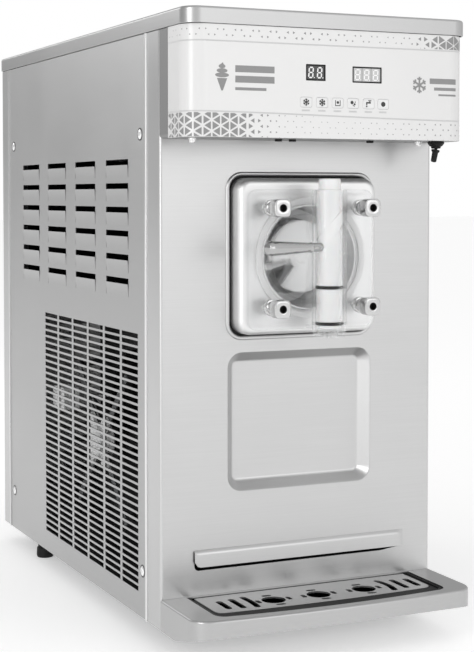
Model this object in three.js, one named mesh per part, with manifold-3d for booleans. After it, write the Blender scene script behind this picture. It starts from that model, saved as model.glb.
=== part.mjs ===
// Counter-top soft serve machine for one flavour: a sheet-metal cabinet with a control head,
// a freezing cylinder behind a clear door, a draw valve, a drip station and the drive and
// refrigeration inside. Millimetres: X to the right, Y to the back, Z up.
// Pieces are placed from two planes, Y = 0 at the face of the front panel and Z = 0 at the lower
// edge of the panels. The machine group moves them so that the origin lies under the middle.
import * as THREE from 'three';
import { mergeVertices } from 'three/addons/utils/BufferGeometryUtils.js';
import Module from 'manifold-3d';

const wasm = await Module();
wasm.setup();

// ---- Driving dimensions ----------------------------------------------------------------------
const SHEET = 2;
const GAP = 0.4;
const BODY = { half: 180, depth: 650, height: 688, corner: 4 };
const RETURN = { front: 41.5, rear: 37 };
const COVER = { overhang: 1.6, front: -82.4, corner: 20, low: 688.7, top: 707.3 };
const FOOT = { height: 28, radius: 12.5, topRadius: 10 };
const LOUVRE = {
  first: 101.7, pitchY: 119.6, width: 79, columns: 4,
  top: 544, pitchZ: 28.75, slot: 7, rows: 6,
};
const GRILLE = {
  first: 70.5, pitchY: 62, width: 54.8, columns: 6,
  low: 29.1, pitchZ: 103.5, slot: 98, rows: 3,
};
const CYLINDER = { z: 428, bore: 60, wall: 2, front: -24, back: 193 };
const PLATE = { half: 90.3, low: 338.5, high: 520.5, front: -24, back: 30, wall: 3, corner: 14 };
const INSULATION = { gap: 0.9, front: -20, back: 186, corner: 12 };
const DOOR = { half: 82.1, low: 344.3, high: 507.2, back: -24.6, edge: -30.5, front: -36.6, inset: 6 };
const VALVE = { y: -73.1, tube: 20.3, bore: 16.8, low: 345.5, top: 506.6, piston: 14.7 };
const HANDLE = { z: 441.4, restAngle: -166, turn: 105, lift: 36, root: 5, reach: 93, play: 2 };
const SCREW = { x: 58.2, low: 371.3, high: 486, front: -72.3, stud: 4 };
const HOPPER = { half: 124.5, front: 100, back: 390, low: 548, corner: 24, spoutY: 130, spout: 10 };
const HEAD = {
  front: -80.8, low: 564.7, top: 688.2, corner: 24,
  skin: 1.5, skinBack: -26.3, wall: 2.5, cheek: 3,
};
const DISPLAY = { two: [-34.4, -9.6, 629.9, 648.1], three: [25.2, 63.4, 629.3, 647.5] };
const KEY = {
  xs: [-34.3, -14, 6, 26, 46.3, 65.4], z: 605.4, front: -81.2,
  width: 14.6, height: 11.4, depth: 7, corner: 2.5,
};
const SWITCH = { x: 151.5, y: -57.5, tilt: 12, drop: 8.5, bush: 5.9 };
const TRAY = { top: 35.3, mid: -113, side: -104, corner: 25 };
const OPENING = { half: 148.5, back: -2.5, mid: -101, side: -92, corner: 14, floor: 15 };
const GRID = {
  half: 140, back: -4, mid: -76, side: -71, corner: 10, sheet: 2,
  wellXs: [-58, 0.5, 61], wellY: -47, well: 14.2, petal: 19.6,
  slots: [[-119.5, 14], [-103, 17], [-87, 20], [95, 20], [111, 17], [128, 14]],
};
const FAN = { y: 283, z: 176, blade: 108, hub: 17, blades: 5, front: -133, back: -112, pitch: 24 };
const SHAFT = 8;
const BELT = { front: 336, back: 346, driven: 60, driver: 25, motorX: 62, motorZ: 250, thick: 4 };

// ---- Helpers: outlines -----------------------------------------------------------------------
const radians = (degrees) => (degrees * Math.PI) / 180;

// Points of an arc about (cx, cy), both ends included.
function arc(cx, cy, radius, from, to, steps) {
  return Array.from({ length: steps + 1 }, (_, i) => {
    const a = radians(from + ((to - from) * i) / steps);
    return new THREE.Vector2(cx + radius * Math.cos(a), cy + radius * Math.sin(a));
  });
}

function rect(x0, y0, x1, y1) {
  return [[x0, y0], [x1, y0], [x1, y1], [x0, y1]].map(([x, y]) => new THREE.Vector2(x, y));
}

// A rectangle with one corner radius at its low-y side and another at its high-y side.
function roundedRect(x0, y0, x1, y1, low, high = low, steps = 4) {
  return [
    ...arc(x1 - low, y0 + low, low, -90, 0, steps),
    ...arc(x1 - high, y1 - high, high, 0, 90, steps),
    ...arc(x0 + high, y1 - high, high, 90, 180, steps),
    ...arc(x0 + low, y0 + low, low, 180, 270, steps),
  ];
}

function circle(cx, cy, radius, steps = 24) {
  return arc(cx, cy, radius, 0, 360 - 360 / steps, steps - 1);
}

// A slot with round ends between two points.
function slot(x0, y0, x1, y1, halfWidth, steps = 4) {
  const heading = (Math.atan2(y1 - y0, x1 - x0) * 180) / Math.PI;
  return [
    ...arc(x1, y1, halfWidth, heading - 90, heading + 90, steps),
    ...arc(x0, y0, halfWidth, heading + 90, heading + 270, steps),
  ];
}

// A plan outline that is straight at the back and bows outwards at the front.
function bowed(half, back, side, mid, corner, steps = 10) {
  const bowY = (x) => mid + (side - mid) * (x / half) ** 2;
  const cornerX = half - corner;
  const cornerY = bowY(cornerX) + corner;
  const front = Array.from({ length: steps - 1 }, (_, i) => {
    const x = cornerX * (-1 + (2 * (i + 1)) / steps);
    return new THREE.Vector2(x, bowY(x));
  });
  return [
    new THREE.Vector2(half, back),
    new THREE.Vector2(-half, back),
    ...arc(-cornerX, cornerY, corner, 180, 270, 5),
    ...front,
    ...arc(cornerX, cornerY, corner, 270, 360, 5),
  ];
}

// ---- Helpers: solids -------------------------------------------------------------------------
function signedVolume(positions, index) {
  const corner = (k) => new THREE.Vector3().fromArray(positions, index[k] * 3);
  let volume = 0;
  for (let i = 0; i < index.length; i += 3) {
    volume += corner(i).dot(corner(i + 1).cross(corner(i + 2)));
  }
  return volume;
}

// A closed three.js geometry as a solid, with its shared vertices merged and its faces outwards.
function solid(geometry) {
  geometry.deleteAttribute('normal');
  geometry.deleteAttribute('uv');
  const merged = mergeVertices(geometry, 1e-4);
  const positions = merged.attributes.position.array;
  const raw = Array.from(merged.index.array);
  const index = [];
  for (let i = 0; i < raw.length; i += 3) {
    const [a, b, c] = raw.slice(i, i + 3);
    if (a !== b && b !== c && c !== a) index.push(a, b, c);
  }
  if (signedVolume(positions, index) < 0) index.reverse();
  const mesh = new wasm.Mesh({
    numProp: 3,
    vertProperties: new Float32Array(positions),
    triVerts: new Uint32Array(index),
  });
  return new wasm.Manifold(mesh);
}

function extrude(outline, holes, depth) {
  const shape = new THREE.Shape(outline);
  shape.holes = holes.map((points) => new THREE.Path(points));
  return new THREE.ExtrudeGeometry(shape, { depth, bevelEnabled: false, steps: 1 });
}

// Prisms along Z from an (x, y) outline, along Y from (x, z) and along X from (y, z).
function prismZ(outline, z0, z1, holes = []) {
  return solid(extrude(outline, holes, z1 - z0).translate(0, 0, z0));
}

function prismY(outline, y0, y1, holes = []) {
  return solid(extrude(outline, holes, y1 - y0).rotateX(Math.PI / 2).translate(0, y1, 0));
}

function prismX(outline, x0, x1, holes = []) {
  const turn = new THREE.Matrix4().makeBasis(
    new THREE.Vector3(0, 1, 0),
    new THREE.Vector3(0, 0, 1),
    new THREE.Vector3(1, 0, 0),
  );
  return solid(extrude(outline, holes, x1 - x0).applyMatrix4(turn).translate(x0, 0, 0));
}

// A box between two corners, whose coordinates may come in either order.
function box(x0, x1, y0, y1, z0, z1) {
  const sizes = [x1 - x0, y1 - y0, z1 - z0].map(Math.abs);
  const geometry = new THREE.BoxGeometry(...sizes);
  return solid(geometry.translate((x0 + x1) / 2, (y0 + y1) / 2, (z0 + z1) / 2));
}

// Turned pieces from a profile of [radius, height] pairs, with the height along Z, Y or X.
function lathe(profile, steps) {
  const points = profile.map(([r, h]) => new THREE.Vector2(r, h));
  return new THREE.LatheGeometry(points, steps);
}

function turnedZ(profile, x, y, steps = 24) {
  return solid(lathe(profile, steps).rotateX(Math.PI / 2).translate(x, y, 0));
}

function turnedY(profile, x, z, steps = 24) {
  return solid(lathe(profile, steps).translate(x, 0, z));
}

function turnedX(profile, y, z, steps = 24) {
  return solid(lathe(profile, steps).rotateZ(-Math.PI / 2).translate(0, y, z));
}

// A rod along Z, Y or X, from one height to another.
const rodProfile = (radius, from, to) => [[0, from], [radius, from], [radius, to], [0, to]];
const rodZ = (x, y, radius, z0, z1, steps) => turnedZ(rodProfile(radius, z0, z1), x, y, steps);
const rodY = (x, z, radius, y0, y1, steps) => turnedY(rodProfile(radius, y0, y1), x, z, steps);
const rodX = (y, z, radius, x0, x1, steps) => turnedX(rodProfile(radius, x0, x1), y, z, steps);

// A skin through rings of equally many points, closed at both ends with flat convex caps.
function loft(rings) {
  const count = rings[0].length;
  const positions = rings.flat().flatMap((point) => point.toArray());
  const index = [];
  for (let ring = 0; ring < rings.length - 1; ring += 1) {
    for (let i = 0; i < count; i += 1) {
      const a = ring * count + i;
      const b = ring * count + ((i + 1) % count);
      index.push(a, b, a + count, b, b + count, a + count);
    }
  }
  const last = (rings.length - 1) * count;
  for (let i = 1; i < count - 1; i += 1) {
    index.push(0, i + 1, i, last, last + i, last + i + 1);
  }
  const geometry = new THREE.BufferGeometry();
  geometry.setAttribute('position', new THREE.Float32BufferAttribute(positions, 3));
  geometry.setIndex(index);
  return solid(geometry);
}

// An (x, z) outline as a ring of points in the plane of one Y.
const ringAtY = (outline, y) => outline.map((p) => new THREE.Vector3(p.x, y, p.y));

const join = (...solids) => solids.reduce((a, b) => a.add(b));
const cut = (base, ...tools) => tools.reduce((a, b) => a.subtract(b), base);

// ---- The scene graph -------------------------------------------------------------------------
const FINISH = {
  steel: { color: 0xb9bcbe, roughness: 0.32, metalness: 1 },
  paint: { color: 0xb4b6b7, roughness: 0.45, metalness: 0.4 },
  galvanised: { color: 0x9a9ea1, roughness: 0.5, metalness: 0.9 },
  white: { color: 0xe9eaea, roughness: 0.4, metalness: 0 },
  clear: { color: 0xdfe5e8, roughness: 0.1, metalness: 0, transparent: true, opacity: 0.4 },
  grey: { color: 0xc4c6c6, roughness: 0.45, metalness: 0 },
  black: { color: 0x1b1c1d, roughness: 0.6, metalness: 0 },
  rubber: { color: 0x151515, roughness: 0.85, metalness: 0 },
  foam: { color: 0xd8d2b8, roughness: 0.9, metalness: 0 },
  copper: { color: 0xa86a48, roughness: 0.4, metalness: 1 },
  motor: { color: 0x3b4046, roughness: 0.55, metalness: 0.3 },
};

const REAR_LIMIT = BODY.depth + COVER.overhang;
const machine = new THREE.Group();
machine.position.set(0, -(REAR_LIMIT + TRAY.mid) / 2, FOOT.height);

function add(name, finish, piece, group = machine) {
  const mesh = piece.getMesh();
  const geometry = new THREE.BufferGeometry();
  geometry.setAttribute('position', new THREE.Float32BufferAttribute(mesh.vertProperties, 3));
  geometry.setIndex(Array.from(mesh.triVerts));
  geometry.computeVertexNormals();
  const node = new THREE.Mesh(geometry, new THREE.MeshStandardMaterial(FINISH[finish]));
  node.name = name;
  group.add(node);
  return node;
}

// ---- Cabinet ---------------------------------------------------------------------------------
// A panel bent round both sides of the cabinet, as a plan outline that starts at one return.
function bentPanel(face, inwards, reach) {
  const { half, corner } = BODY;
  const at = (depth) => face + inwards * depth;
  const bend = (side, radius) => arc(0, 0, radius, 0, 90, 3).map((p) => {
    return new THREE.Vector2(side * (half - corner + p.x), at(corner - p.y));
  });
  return [
    new THREE.Vector2(half, at(reach)),
    ...bend(1, corner),
    ...bend(-1, corner).reverse(),
    new THREE.Vector2(-half, at(reach)),
    new THREE.Vector2(-half + SHEET, at(reach)),
    ...bend(-1, corner - SHEET),
    ...bend(1, corner - SHEET).reverse(),
    new THREE.Vector2(half - SHEET, at(reach)),
  ];
}

// The opening for the freezing cylinder's front, with a rolled rim, and the pressed recess below it.
const DOOR_OPENING = { half: 92.8, low: 336, high: 523, rim: 5, corner: 15.6 };
const RECESS = { half: 95.2, low: 153, high: 316.8, slope: 11.5, depth: 14, corner: 18 };
const HOOD = { left: -138, right: 142, top: 88.7, low: 69, stand: 6 };
const SLIT = { inset: 1.5, low: 64.4, high: 79, corner: 5 };

function frontPanel() {
  const { half, low, high, rim, corner } = DOOR_OPENING;
  const opening = roundedRect(-half, low, half, high, corner);
  const rimOuter = roundedRect(-half - rim, low - rim, half + rim, high + rim, corner + rim);
  const recessRing = (grow, y, narrow) => {
    const side = RECESS.half - narrow + grow;
    const z0 = RECESS.low + narrow - grow;
    const z1 = RECESS.high - narrow + grow;
    return ringAtY(roundedRect(-side, z0, side, z1, RECESS.corner - narrow / 2), y);
  };
  const tub = loft([recessRing(SHEET, 0.5, 0), recessRing(SHEET, RECESS.depth + SHEET, RECESS.slope)]);
  const hollow = loft([recessRing(0, -0.5, 0), recessRing(0, RECESS.depth, RECESS.slope)]);
  const flap = [
    [0.6, HOOD.top], [-HOOD.stand, HOOD.low + 1], [-HOOD.stand + SHEET, HOOD.low], [SHEET, HOOD.top - 3],
  ];
  const hood = prismX(flap.map(([y, z]) => new THREE.Vector2(y, z)), HOOD.left, HOOD.right);
  const slitLeft = HOOD.left + SLIT.inset;
  const slitRight = HOOD.right - SLIT.inset;
  const slitOutline = [
    [slitLeft, SLIT.high], [slitLeft, SLIT.low + SLIT.corner], [slitLeft + SLIT.corner, SLIT.low],
    [slitRight, SLIT.low], [slitRight, SLIT.high],
  ];
  const slit = prismY(slitOutline.map(([x, z]) => new THREE.Vector2(x, z)), -1, SHEET + 1);
  const wiring = prismY(roundedRect(-140, 590, 140, 660, 8), -1, SHEET + 1);
  const sheet = prismZ(bentPanel(0, 1, RETURN.front), 0.3, BODY.height);
  const cutout = prismY(opening, -1, SHEET + 1);
  const rolled = prismY(rimOuter, -2.5, 0.5, [opening]);
  const plain = cut(sheet, cutout, prismY(rect(-90, 160, 90, 310), -1, SHEET + 1), slit, wiring);
  return cut(join(plain, rolled, tub, hood), hollow);
}

const REAR_VENT = { half: 130, low: 60, pitch: 22, count: 12, slot: 8 };
const INLET = { x: -120, z: 40, radius: 9 };

function rearPanel() {
  const sheet = prismZ(bentPanel(BODY.depth, -1, RETURN.rear), 0.3, BODY.height);
  const { half, low, pitch, count, slot: height } = REAR_VENT;
  const vents = Array.from({ length: count }, (_, row) => {
    const z = low + row * pitch;
    return box(-half, half, BODY.depth - 4, BODY.depth + 1, z, z + height);
  });
  const lead = rodY(INLET.x, INLET.z, INLET.radius, BODY.depth - 4, BODY.depth + 1, 16);
  return cut(sheet, ...vents, lead);
}

// Six rows of louvre slots above a grille of short slots.
function sidePanel(side) {
  const [outer, inner] = [side * BODY.half, side * (BODY.half - SHEET)];
  const [beyond, within] = [outer + side, inner - side];
  const sheet = box(outer, inner, RETURN.front + GAP, BODY.depth - RETURN.rear - GAP, 0.3, BODY.height);
  const cutters = [];
  for (let column = 0; column < LOUVRE.columns; column += 1) {
    for (let row = 0; row < LOUVRE.rows; row += 1) {
      const y = LOUVRE.first + column * LOUVRE.pitchY;
      const z = LOUVRE.top - row * LOUVRE.pitchZ;
      cutters.push(box(beyond, within, y, y + LOUVRE.width, z - LOUVRE.slot, z));
    }
  }
  for (let column = 0; column < GRILLE.columns; column += 1) {
    for (let row = 0; row < GRILLE.rows; row += 1) {
      const y = GRILLE.first + column * GRILLE.pitchY;
      const z = GRILLE.low + row * GRILLE.pitchZ;
      cutters.push(box(beyond, within, y, y + GRILLE.width, z, z + GRILLE.slot));
    }
  }
  return cut(sheet, ...cutters);
}

const POST = { legX: 36, legY: 66, low: 3, top: 686 };

// A corner post: an angle with a long leg behind the side panel and a short one across.
function cornerPost(side, front) {
  const { legX, legY, low, top } = POST;
  const outer = BODY.half - SHEET - 1;
  const face = SHEET + 1;
  const fromEnd = (depth) => (front ? depth : BODY.depth - depth);
  const long = [side * outer, side * (outer - SHEET), fromEnd(face), fromEnd(face + legY)];
  const short = [side * outer, side * (outer - legX), fromEnd(face), fromEnd(face + SHEET)];
  return join(box(...long, low, top), box(...short, low, top));
}

// The floor of the cabinet, with the welded channel that carries the drive motor.
function basePan() {
  const half = BODY.half - SHEET - GAP;
  const back = BODY.depth - SHEET - GAP;
  const floor = prismZ(roundedRect(-half, SHEET + GAP, half, back, 3), 0.3, 2.6);
  const rib = box(144, 156, 90, 600, 2, 5);
  const shelf = { x0: -24, x1: 172, y0: 116, y1: 312, top: BELT.motorZ - 61 };
  const deck = box(shelf.x0, shelf.x1, shelf.y0, shelf.y1, shelf.top - 3, shelf.top);
  const legs = [shelf.x0, shelf.x1 - 3].map((x) => box(x, x + 3, shelf.y0, shelf.y1, 2, shelf.top));
  return join(floor, rib, deck, ...legs);
}

function topCover() {
  const edge = BODY.half + COVER.overhang;
  const outline = (inset) => {
    const half = edge - inset;
    const [front, back] = [COVER.corner - inset, 6 - inset];
    return roundedRect(-half, COVER.front + inset, half, REAR_LIMIT - inset, front, back, 5);
  };
  const shell = prismZ(outline(0), COVER.low, COVER.top);
  const inside = prismZ(outline(SHEET), COVER.low - 1, COVER.top - SHEET);
  const { half, front, back, corner } = HOPPER;
  const mouth = roundedRect(-half - 1, front - 1, half + 1, back + 1, corner + 1);
  return cut(shell, inside, prismZ(mouth, COVER.top - 4, COVER.top + 1));
}

add('base_pan', 'galvanised', basePan());
add('front_panel', 'steel', frontPanel());
add('rear_panel', 'steel', rearPanel());
add('left_panel', 'steel', sidePanel(-1));
add('right_panel', 'steel', sidePanel(1));
add('top_cover', 'steel', topCover());
add('front_left_post', 'galvanised', cornerPost(-1, true));
add('front_right_post', 'galvanised', cornerPost(1, true));
add('rear_left_post', 'galvanised', cornerPost(-1, false));
add('rear_right_post', 'galvanised', cornerPost(1, false));

// The lead's gland, clipped into the rear panel. The lead itself isn't part of the model.
function gland() {
  const face = BODY.depth;
  const profile = [
    [0, face - 12], [7, face - 12], [INLET.radius - GAP, face - 8], [INLET.radius - GAP, face + GAP],
    [11, face + GAP], [11, face + 1.4], [0, face + 1.4],
  ];
  return turnedY(profile, INLET.x, INLET.z, 16);
}

// ---- Feet ------------------------------------------------------------------------------------
const FEET = {
  front_left: [-130, 60], front_right: [130, 60],
  rear_left: [-158, 512], rear_right: [158, 512],
};
for (const [place, [x, y]] of Object.entries(FEET)) {
  const { height, radius, topRadius } = FOOT;
  const profile = [[0, -height], [radius - 1.5, -height], [radius, -height + 1.5], [radius, -14]];
  const foot = turnedZ([...profile, [topRadius, -12], [topRadius, -0.3], [0, -0.3]], 0, 0, 12);
  add(`${place}_foot`, 'rubber', foot).position.set(x, y, 0);
}

// ---- Hopper ----------------------------------------------------------------------------------
const DRAIN_END = 491;

function hopperPlan(grow) {
  const { half, front, back, corner } = HOPPER;
  const side = half + grow;
  return roundedRect(-side, front - grow, side, back + grow, corner + grow, corner + grow, 3);
}

function hopper() {
  const { low, spoutY, spout } = HOPPER;
  const rim = prismZ(hopperPlan(9), COVER.top + GAP, COVER.top + GAP + SHEET);
  const tank = prismZ(hopperPlan(0), low, COVER.top + GAP + 1);
  const inside = prismZ(hopperPlan(-SHEET), low + SHEET, COVER.top + 5);
  const neck = rodZ(0, spoutY, spout + 3, DRAIN_END, low + 1, 16);
  const drain = rodZ(0, spoutY, spout, DRAIN_END - 1, low + 5, 16);
  return cut(join(rim, tank, neck), inside, drain);
}

function hopperCover() {
  const low = COVER.top + GAP + SHEET + GAP;
  const middle = (HOPPER.front + HOPPER.back) / 2;
  const plate = prismZ(hopperPlan(7), low, low + 4);
  const raised = prismZ(hopperPlan(-12), low + 3, low + 8);
  const lipOuter = prismZ(hopperPlan(-SHEET - 1), low - 10, low + 1);
  const lip = cut(lipOuter, prismZ(hopperPlan(-SHEET - 4), low - 11, low));
  const grip = box(-50, 50, middle - 8, middle + 8, low + 18, low + 24);
  const legs = [-44, 44].map((x) => box(x - 5, x + 5, middle - 7, middle + 7, low + 7, low + 19));
  return join(plate, raised, lip, grip, ...legs);
}

// A tube with an air hole that stands in the hopper's drain and meters the mix.
function feedTube() {
  const outer = HOPPER.spout - GAP;
  const tube = turnedZ([[6, 500], [outer, 500], [outer, 650], [6, 650], [6, 500]], 0, HOPPER.spoutY, 12);
  const airHole = rodY(0, 566, 2.5, HOPPER.spoutY - 20, HOPPER.spoutY, 10);
  return cut(tube, airHole);
}

add('hopper', 'steel', hopper());
add('hopper_cover', 'black', hopperCover());
add('feed_tube', 'white', feedTube());

// ---- Freezing cylinder -----------------------------------------------------------------------
const SHAFT_HOLE = 12.2;

function freezingCylinder() {
  const { z, bore, wall, front, back } = CYLINDER;
  const outer = bore + wall;
  const profile = [
    [bore, front], [outer, front], [outer, back], [SHAFT_HOLE, back],
    [SHAFT_HOLE, back - 3], [bore, back - 3], [bore, front],
  ];
  const inletHole = rodZ(0, HOPPER.spoutY, HOPPER.spout, z + 30, z + 80, 16);
  return cut(turnedY(profile, 0, z, 28), inletHole);
}

// The stainless boss round the cylinder's mouth: a pressed shell with the door's four studs.
function facePlate() {
  const { half, low, high, front, back, wall, corner } = PLATE;
  const outline = (inset) => {
    return roundedRect(-half + inset, low + inset, half - inset, high - inset, corner - inset / 2);
  };
  const sections = [[0, back], [0, front + 7], [2, front + 2], [7, front]];
  const skin = loft(sections.map(([pulledIn, y]) => ringAtY(outline(pulledIn), y)));
  const inside = prismY(outline(wall), front + wall, back + 1);
  const mouth = rodY(0, CYLINDER.z, CYLINDER.bore + CYLINDER.wall + GAP, front - 1, front + 5, 28);
  const studs = atHandScrews((x, z) => rodY(x, z, SCREW.stud, front + 1, SCREW.front + 10, 12));
  return cut(join(skin, ...studs), inside, mouth);
}

// One result for each of the four hand screws.
function atHandScrews(make) {
  return [-1, 1].flatMap((side) => [SCREW.high, SCREW.low].map((z) => make(side * SCREW.x, z)));
}

function insulation() {
  const { gap, front, back, corner } = INSULATION;
  const half = PLATE.half - PLATE.wall - gap;
  const [low, high] = [PLATE.low + PLATE.wall + gap + 0.2, PLATE.high - PLATE.wall - gap - 0.2];
  const block = prismY(roundedRect(-half, low, half, high, corner), front, back);
  const bore = rodY(0, CYLINDER.z, CYLINDER.bore + CYLINDER.wall + GAP, front - 1, back + 1, 28);
  const neck = rodZ(0, HOPPER.spoutY, HOPPER.spout + 3 + GAP, CYLINDER.z, 520, 16);
  return cut(block, bore, neck);
}

add('freezing_cylinder', 'steel', freezingCylinder());
add('face_plate', 'steel', facePlate());
add('cylinder_insulation', 'foam', insulation());

// ---- Door and draw valve ---------------------------------------------------------------------
const SEAL = { inner: 64.4, outer: 71, depth: 2.7 };
const PORT = { z: 376, radius: 9 };

// The helical slot that guides the handle: sections across its path, in the tube's own surface.
function helicalSlot() {
  const halfWidth = HANDLE.root + HANDLE.play;
  const travel = radians(HANDLE.turn) * VALVE.tube;
  const pathLength = Math.hypot(travel, HANDLE.lift);
  const along = { turn: travel / pathLength, rise: HANDLE.lift / pathLength };
  const steps = 10;
  const rings = [];
  for (let i = 0; i <= steps; i += 1) {
    const distance = -halfWidth + ((pathLength + 2 * halfWidth) * i) / steps;
    const corner = (acrossSide, radius) => {
      const surface = distance * along.turn - acrossSide * halfWidth * along.rise;
      const z = HANDLE.z + distance * along.rise + acrossSide * halfWidth * along.turn;
      const angle = radians(HANDLE.restAngle) + surface / VALVE.tube;
      return new THREE.Vector3(radius * Math.cos(angle), VALVE.y + radius * Math.sin(angle), z);
    };
    rings.push([corner(-1, 12), corner(-1, 26), corner(1, 26), corner(1, 12)]);
  }
  return loft(rings);
}

function door() {
  const { half, low, high, back, edge, front, inset } = DOOR;
  const outline = (n) => roundedRect(-half + n, low + n, half - n, high - n, 11 - n / 2);
  const sections = [[0, back], [0, edge], [inset, front]];
  const plate = loft(sections.map(([pulledIn, y]) => ringAtY(outline(pulledIn), y)));
  const plug = turnedY([[50, -27], [59.2, -27], [59.2, -8], [50, -8], [50, -27]], 0, CYLINDER.z, 28);
  const spine = box(-12, 12, VALVE.y, front + 2, VALVE.low, 500);
  const tube = rodZ(0, VALVE.y, VALVE.tube, VALVE.low, VALVE.top, 24);
  const bore = rodZ(0, VALVE.y, VALVE.bore, VALVE.low - 1, VALVE.top + 1, 24);
  const port = rodY(0, PORT.z, PORT.radius, VALVE.y, back + 1, 12);
  const groove = turnedY([
    [SEAL.inner - 0.2, back - SEAL.depth], [SEAL.outer + 0.2, back - SEAL.depth],
    [SEAL.outer + 0.2, back + 1], [SEAL.inner - 0.2, back + 1], [SEAL.inner - 0.2, back - SEAL.depth],
  ], 0, CYLINDER.z, 28);
  const holes = atHandScrews((x, z) => rodY(x, z, SCREW.stud + GAP, front - 1, back + 1, 10));
  return cut(join(plate, plug, spine, tube), bore, port, groove, helicalSlot(), ...holes);
}

function doorSeal() {
  const front = DOOR.back - SEAL.depth + 0.3;
  const back = PLATE.front - GAP;
  const { inner, outer } = SEAL;
  const section = [[inner, front], [outer, front], [outer, back], [inner, back], [inner, front]];
  return turnedY(section, 0, CYLINDER.z, 28);
}

const O_RING = { radius: 1.7, middle: 14.6, grooves: [353.9, 395.3] };
const PISTON = { low: 348, split: 430, pin: 5, pinTop: 500 };

function drawPiston() {
  const r = VALVE.piston;
  const floor = O_RING.middle - O_RING.radius - 0.3;
  const notch = O_RING.radius + 0.3;
  const groove = (z) => [[r, z - notch], [floor, z - notch], [floor, z + notch], [r, z + notch]];
  const grooves = O_RING.grooves.flatMap(groove);
  const head = [[0, PISTON.low], [r - 1.5, PISTON.low], [r, PISTON.low + 1.5]];
  const { split, pin, pinTop } = PISTON;
  const tail = [[r, split], [pin, split], [pin, pinTop], [0, pinTop]];
  return turnedZ([...head, ...grooves, ...tail], 0, VALVE.y, 18);
}

function oRing(z) {
  const section = circle(O_RING.middle, z, O_RING.radius, 6);
  const profile = [...section, section[0]].map((p) => [p.x, p.y]);
  return turnedZ(profile, 0, VALVE.y, 18);
}

// The upper half of the piston, which turns with the handle on the lower half's pin.
const HEAD_CAP = { radius: 12.7, top: 519.6 };

function pistonHead() {
  const r = VALVE.piston;
  const bore = PISTON.pin + GAP;
  const low = PISTON.split + GAP;
  const { radius, top } = HEAD_CAP;
  const profile = [
    [bore, low], [r, low], [r, VALVE.top - 0.6], [radius, VALVE.top], [radius, top],
    [0, top], [0, PISTON.pinTop + 2], [bore, PISTON.pinTop + 2], [bore, low],
  ];
  const socket = rodX(0, 0, HANDLE.root + 0.3, 7.5, 30, 16);
  const aimed = socket.rotate([0, 0, HANDLE.restAngle]).translate([0, VALVE.y, HANDLE.z]);
  return cut(turnedZ(profile, 0, VALVE.y, 18), aimed);
}

function drawHandle() {
  const root = HANDLE.root;
  const shank = [[0, 8], [root, 8], [root, 27]];
  const grip = [[5.8, 31], [8.1, 82], [8.5, 89], [7.2, HANDLE.reach], [0, HANDLE.reach]];
  return turnedX([...shank, ...grip], 0, 0, 16);
}

function starNozzle() {
  const points = 6;
  const star = Array.from({ length: points * 2 }, (_, i) => {
    const radius = i % 2 ? 6.5 : 12.5;
    const angle = (Math.PI * i) / points;
    return new THREE.Vector2(radius * Math.cos(angle), VALVE.y + radius * Math.sin(angle));
  });
  return prismZ(circle(0, VALVE.y, 19), 338, VALVE.low - GAP, [star]);
}

// A hand screw: collar, neck and a rounded square grip, with a blind socket for the stud.
function handScrew() {
  const reach = DOOR.front - GAP - SCREW.front;
  const rounded = (half, power) => Array.from({ length: 16 }, (_, i) => {
    const a = (Math.PI * 2 * (i + 0.5)) / 16;
    const scale = half / (Math.abs(Math.cos(a)) ** power + Math.abs(Math.sin(a)) ** power) ** (1 / power);
    return new THREE.Vector2(scale * Math.cos(a), scale * Math.sin(a));
  });
  const collar = [[0, 9.4, 2], [6, 9.4, 2], [6.8, 7.3, 2], [13, 7.3, 2]];
  const sections = [...collar, [21, 10.5, 3.6], [reach - 1.5, 10.5, 3.6], [reach, 9.4, 3.6]];
  const grip = loft(sections.map(([depth, half, power]) => ringAtY(rounded(half, power), -depth)));
  return cut(grip, rodY(0, 0, SCREW.stud + 0.35, -reach - 1, 1, 12));
}

add('door', 'clear', door());
add('door_seal', 'white', doorSeal());
add('draw_piston', 'white', drawPiston());
add('lower_o_ring', 'rubber', oRing(O_RING.grooves[0]));
add('upper_o_ring', 'rubber', oRing(O_RING.grooves[1]));
add('piston_head', 'white', pistonHead());
add('star_nozzle', 'clear', starNozzle());

const handle = add('draw_handle', 'steel', drawHandle());
handle.position.set(0, VALVE.y, HANDLE.z);
handle.rotation.z = radians(HANDLE.restAngle);

for (const [vertical, z] of [['upper', SCREW.high], ['lower', SCREW.low]]) {
  for (const [side, x] of [['left', -SCREW.x], ['right', SCREW.x]]) {
    add(`${vertical}_${side}_hand_screw`, 'grey', handScrew()).position.set(x, DOOR.front - GAP, z);
  }
}

// ---- Beater and drive ------------------------------------------------------------------------
const DISC = { radius: 43, notch: 15, start: -128, end: 188, step: 15.8, near: 1.8, far: 6 };
const BEATER = {
  front: -4, back: 184, core: 9, inner: 46, outer: 57.5,
  thick: 5, turns: 1.25, steps: 16,
};

// The plate at the front of the beater: a disc with a sector left out.
function beaterDisc() {
  const { radius, notch, start, end, step, near, far } = DISC;
  const at = (r, degrees) => {
    return new THREE.Vector2(r * Math.cos(radians(degrees)), CYLINDER.z + r * Math.sin(radians(degrees)));
  };
  const outline = [];
  for (let angle = start; angle <= end; angle += step) {
    outline.push(at(radius, angle));
  }
  outline.push(at(notch, end), at(notch, (end + start + 360) / 2), at(notch, start + 360));
  return prismY(outline, BEATER.front + near, BEATER.front + far);
}

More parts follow.
